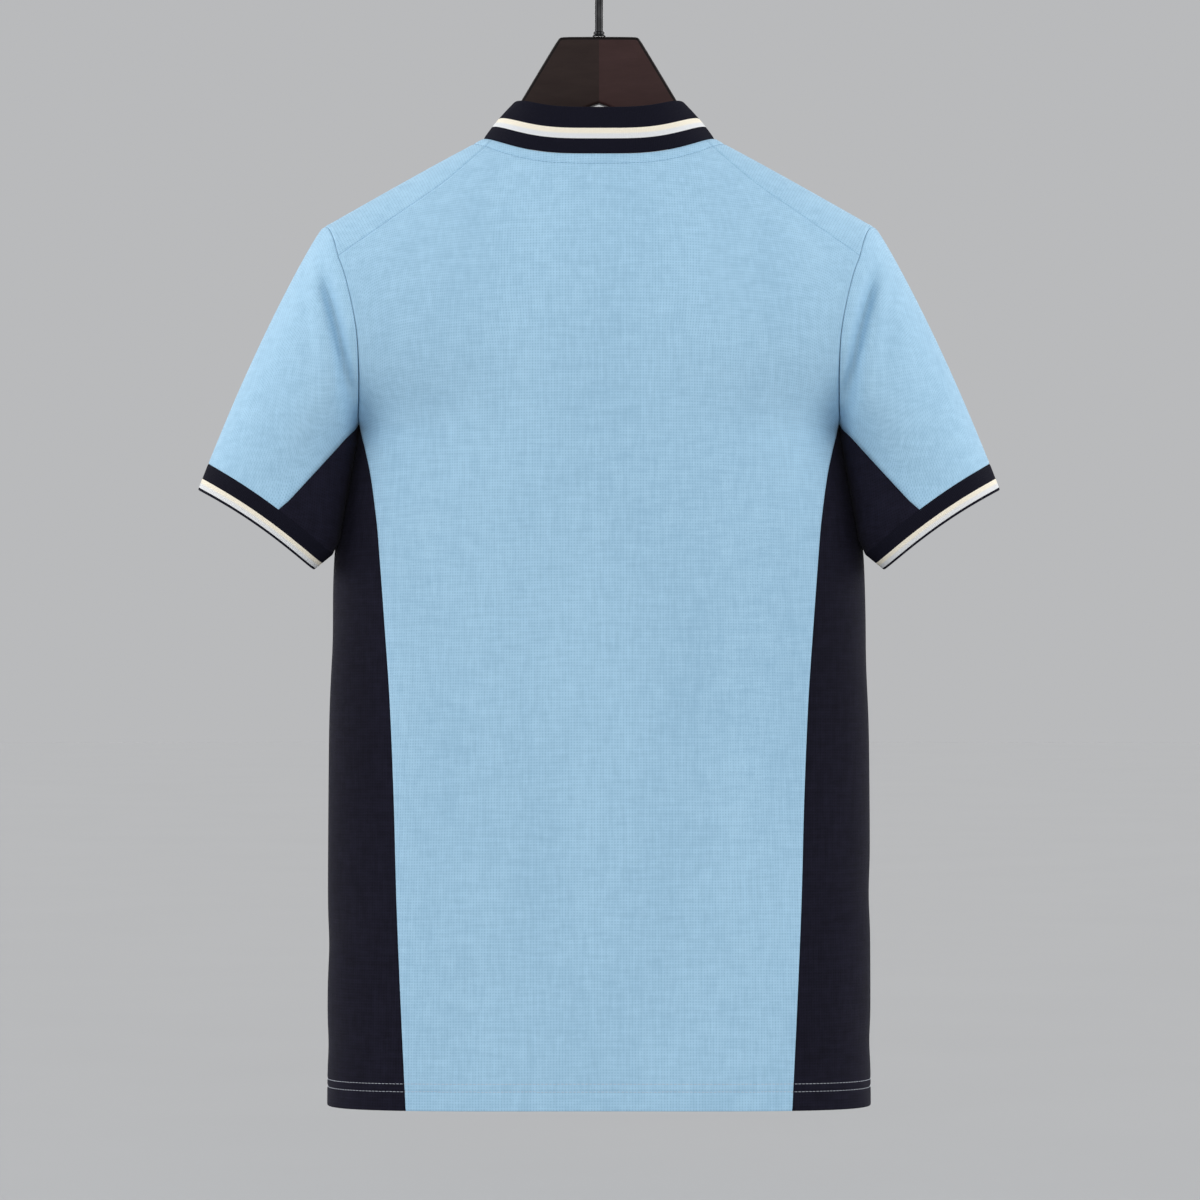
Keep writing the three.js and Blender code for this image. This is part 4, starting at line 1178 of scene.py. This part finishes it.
def hanger_top(x, flat):
    """The hanger's top line: flat, down its sloping neck, then just under the shoulders' cloth."""
    past = (abs(x) - WOOD_HALF) / WOOD_SLOPE
    neck_line = WOOD_TOP - (past + math.hypot(past, WOOD_ROUND)) / 2
    rounded = math.sqrt(1 - (flat / BACK_DEPTH[-1][1]) ** 2)
    clear = SOLID_WALL * 1.16 + SHOULDER_FALL * (1 - rounded) + HANGER_CLEARANCE
    return max(neck_line, float(ridge(max(abs(x), NECK_HALF + 3))) - clear)


def rounded_corner(corner, along_a, along_b, size, bulge, count=6):
    """Points from one side of a bevelled corner to the other, curved by bulge: 0 flat, 1 round."""
    start, end = corner + along_a * size, corner + along_b * size
    centre = corner + (along_a + along_b) * size
    points = []
    for t in np.linspace(0, 1, count):
        chord = mix(start, end, t)
        arc = centre - (along_b * math.cos(t * math.pi / 2) + along_a * math.sin(t * math.pi / 2)) * size
        points.append(mix(chord, arc, bulge))
    return points


def hanger_ring(x):
    half = abs(x)
    under, thick, bevel = (float(curve(rows, half)) for rows in (HANGER_UNDER, HANGER_THICK, HANGER_BEVEL))
    tip = max((half - HANGER_TIP) / (HANGER_UNDER[-1][0] - HANGER_TIP), 0)
    shrink = math.sqrt(1 - (0.9 * tip) ** 2)
    y, cut = thick / 2 * shrink, bevel * shrink
    top = hanger_top(x, thick / 2 - bevel) - 6 * (1 - shrink)
    low = under + 8 * (1 - shrink)
    bulge = 1.0 if half < 60 else mix(1.0, 0.25, ramp((half - 60) / 30))
    right, up = np.array([1.0, 0]), np.array([0, 1.0])
    steep = ramp((half - WOOD_HALF + 1.5) / 3) * ramp((NECK_HALF - 18 - half) / 14)
    down = -up * mix(1.0, math.hypot(1, 1 / WOOD_SLOPE), steep)
    section = [
        *rounded_corner(np.array([y, top]), -right, down, cut, bulge),
        *rounded_corner(np.array([y, low]), up, -right, cut, bulge),
        *rounded_corner(np.array([-y, low]), right, up, cut, bulge),
        *rounded_corner(np.array([-y, top]), down, right, cut, bulge),
    ]
    return [(x, side, z) for side, z in section]


def make_hanger():
    end = HANGER_UNDER[-1][0]
    half = np.unique(np.round(np.concatenate([
        [0, 1.6, WOOD_HALF - 2.2, WOOD_HALF - 1.1, WOOD_HALF - 0.4, WOOD_HALF, WOOD_HALF + 0.5],
        np.arange(4, HANGER_TIP, 3.5), HANGER_TIP + (end - HANGER_TIP) * np.sin(np.linspace(0, math.pi / 2, 9)),
    ]), 3))
    rings = [hanger_ring(x) for x in np.concatenate([-half[:0:-1], half])]
    # The columns of the two top bevels take the darker wood: painted shade along them.
    obj = loft("hanger_wood", rings, [WOOD, WOOD_BEVEL_SHADE], edge=[*range(5), *range(18, 23)])
    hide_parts("hanger")
    return obj


def smooth_path(points, per_step):
    """A Catmull-Rom curve through points."""
    points = np.asarray(points, float)
    padded = np.concatenate([2 * points[:1] - points[1:2], points, 2 * points[-1:] - points[-2:-1]])
    made = []
    for i in range(len(points) - 1):
        p0, p1, p2, p3 = padded[i:i + 4]
        for t in np.arange(per_step) / per_step:
            made.append(0.5 * (2 * p1 + (p2 - p0) * t + (2 * p0 - 5 * p1 + 4 * p2 - p3) * t**2
                               + (3 * p1 - p0 - 3 * p2 + p3) * t**3))
    return np.array([*made, points[-1]])


def make_hook(material):
    """The wire rises from the wood, bends to one side and goes round over the hang point."""
    middle = HANG_TO_NECK + WIRE / 2 - HOOK_RADIUS
    stem = [(0, WOOD_TOP + METAL_GAP), (0, 90), (0, 100), (0, 108)]
    bend = [(1.6, 115.2), (6.2, 121)]
    turns = np.radians(np.linspace(-52, 208, 17))
    arc = [(HOOK_RADIUS * math.cos(a), middle + HOOK_RADIUS * math.sin(a)) for a in turns]
    path = smooth_path([*stem, *bend, *arc], 6)
    tangent = unit(np.gradient(path, axis=0))
    side = np.stack([-tangent[:, 1], tangent[:, 0]], -1)
    radii = np.full(len(path), WIRE / 2)
    tip = WIRE / 2
    steps = tip * np.sin(np.linspace(0.2, 1, 6) * math.pi / 2)
    path = np.concatenate([path[:-1], path[-1] - tangent[-1] * tip + tangent[-1] * steps[:, None]])
    side = np.concatenate([side[:-1], np.repeat(side[-1:], len(steps), 0)])
    radii = np.concatenate([radii[:-1], np.sqrt(np.maximum(tip**2 - steps**2, 0.02))])
    path = np.delete(path, len(path) - len(steps) - 1, 0)
    side = np.delete(side, len(side) - len(steps) - 1, 0)
    radii = np.delete(radii, len(radii) - len(steps) - 1, 0)
    angles = np.arange(22) * 2 * math.pi / 22
    rings = [[(p[0] + s[0] * r * math.cos(a), r * math.sin(a), p[1] + s[1] * r * math.cos(a)) for a in angles]
             for p, s, r in zip(path, side, radii)]
    obj = loft("hook_wire", rings, [material])
    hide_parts("hook")
    return obj


def make_ferrule(material):
    """The flared ring at the foot of the hook, turned with rounded edges."""
    foot, tall = WOOD_TOP + METAL_GAP, FERRULE["height"]
    inside = WIRE / 2 + 0.1
    wide, narrow = FERRULE["foot"] / 2, FERRULE["top"] / 2
    profile = [(inside, 0), (wide - 0.25, 0), (wide, 0.25), (wide, 1.0), (wide - 0.15, 1.3), (wide - 0.55, 1.6),
               (narrow - 0.1, 2.2), (narrow, 2.6), (narrow, tall - 0.35), (narrow - 0.35, tall), (inside, tall)]
    angles = np.arange(40) * 2 * math.pi / 40
    grid = np.array([[(r * math.cos(a), r * math.sin(a), foot + z) for a in angles] for r, z in profile])
    n, m = grid.shape[:2]
    index = np.arange(n * m).reshape(n, m)
    a, b = index, np.roll(index, -1, 0)
    faces = np.stack([a, np.roll(a, -1, 1), np.roll(b, -1, 1), b], -1).reshape(-1, 4)
    obj = new_object("ferrule_ring", grid.reshape(-1, 3), faces, [material])
    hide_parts("ferrule")
    return obj


# Stage, light and camera


def make_floor():
    low = (HEM_SIDE - HANG_TO_NECK - FLOOR_DROP) * MM
    reach, count = 14.0, 96
    angles = np.arange(count) * 2 * math.pi / count
    mesh = bpy.data.meshes.new("floor")
    mesh.from_pydata([(reach * math.cos(a), reach * math.sin(a), low) for a in angles], [], [list(range(count))])
    mesh.materials.append(floor_material())
    obj = bpy.data.objects.new("floor", mesh)
    bpy.context.scene.collection.objects.link(obj)


def soft_sun(name, azimuth, height, strength):
    """A broad light from far off, at an azimuth from the back's side and a height in degrees."""
    data = bpy.data.lights.new(name, "SUN")
    data.energy = strength
    data.angle = math.radians(SUN_WIDTH)
    obj = bpy.data.objects.new(name, data)
    turn, height = math.radians(azimuth), math.radians(height)
    toward = Vector((math.sin(turn) * math.cos(height), math.cos(turn) * math.cos(height), math.sin(height)))
    obj.rotation_euler = toward.to_track_quat("Z", "Y").to_euler()
    bpy.context.scene.collection.objects.link(obj)


def make_light():
    world = bpy.data.worlds.new("studio")
    world.use_nodes = True
    background = world.node_tree.nodes["Background"]
    background.inputs["Color"].default_value = (0.97, 0.98, 1.0, 1)
    background.inputs["Strength"].default_value = WORLD
    bpy.context.scene.world = world
    for name, azimuth, height, strength in SUNS:
        soft_sun(name, azimuth, height, strength)


def make_camera():
    data = bpy.data.cameras.new("camera")
    data.sensor_width = CAMERA["sensor"]
    data.lens = CAMERA["sensor"] * CAMERA["place"][1] / CAMERA["field"]
    data.clip_end = 60
    obj = bpy.data.objects.new("camera", data)
    obj.location = np.array(CAMERA["place"]) * MM
    obj.rotation_euler = (math.pi / 2, 0, math.pi)
    bpy.context.scene.collection.objects.link(obj)
    bpy.context.scene.camera = obj


def main():
    make_camera()
    pieces = {**make_body(), **make_sleeves(), "collar": make_collar()}
    declare_sheets(pieces, make_stitching(pieces))
    make_hanger()
    # The hook and ferrule share the chrome, darkened by a painted dark reflection.
    chrome_dark_reflection = painted_dark_reflection_material()
    make_hook(chrome_dark_reflection)
    make_ferrule(chrome_dark_reflection)
    make_floor()
    make_light()
    bpy.context.scene.view_settings.view_transform = "Standard"


main()
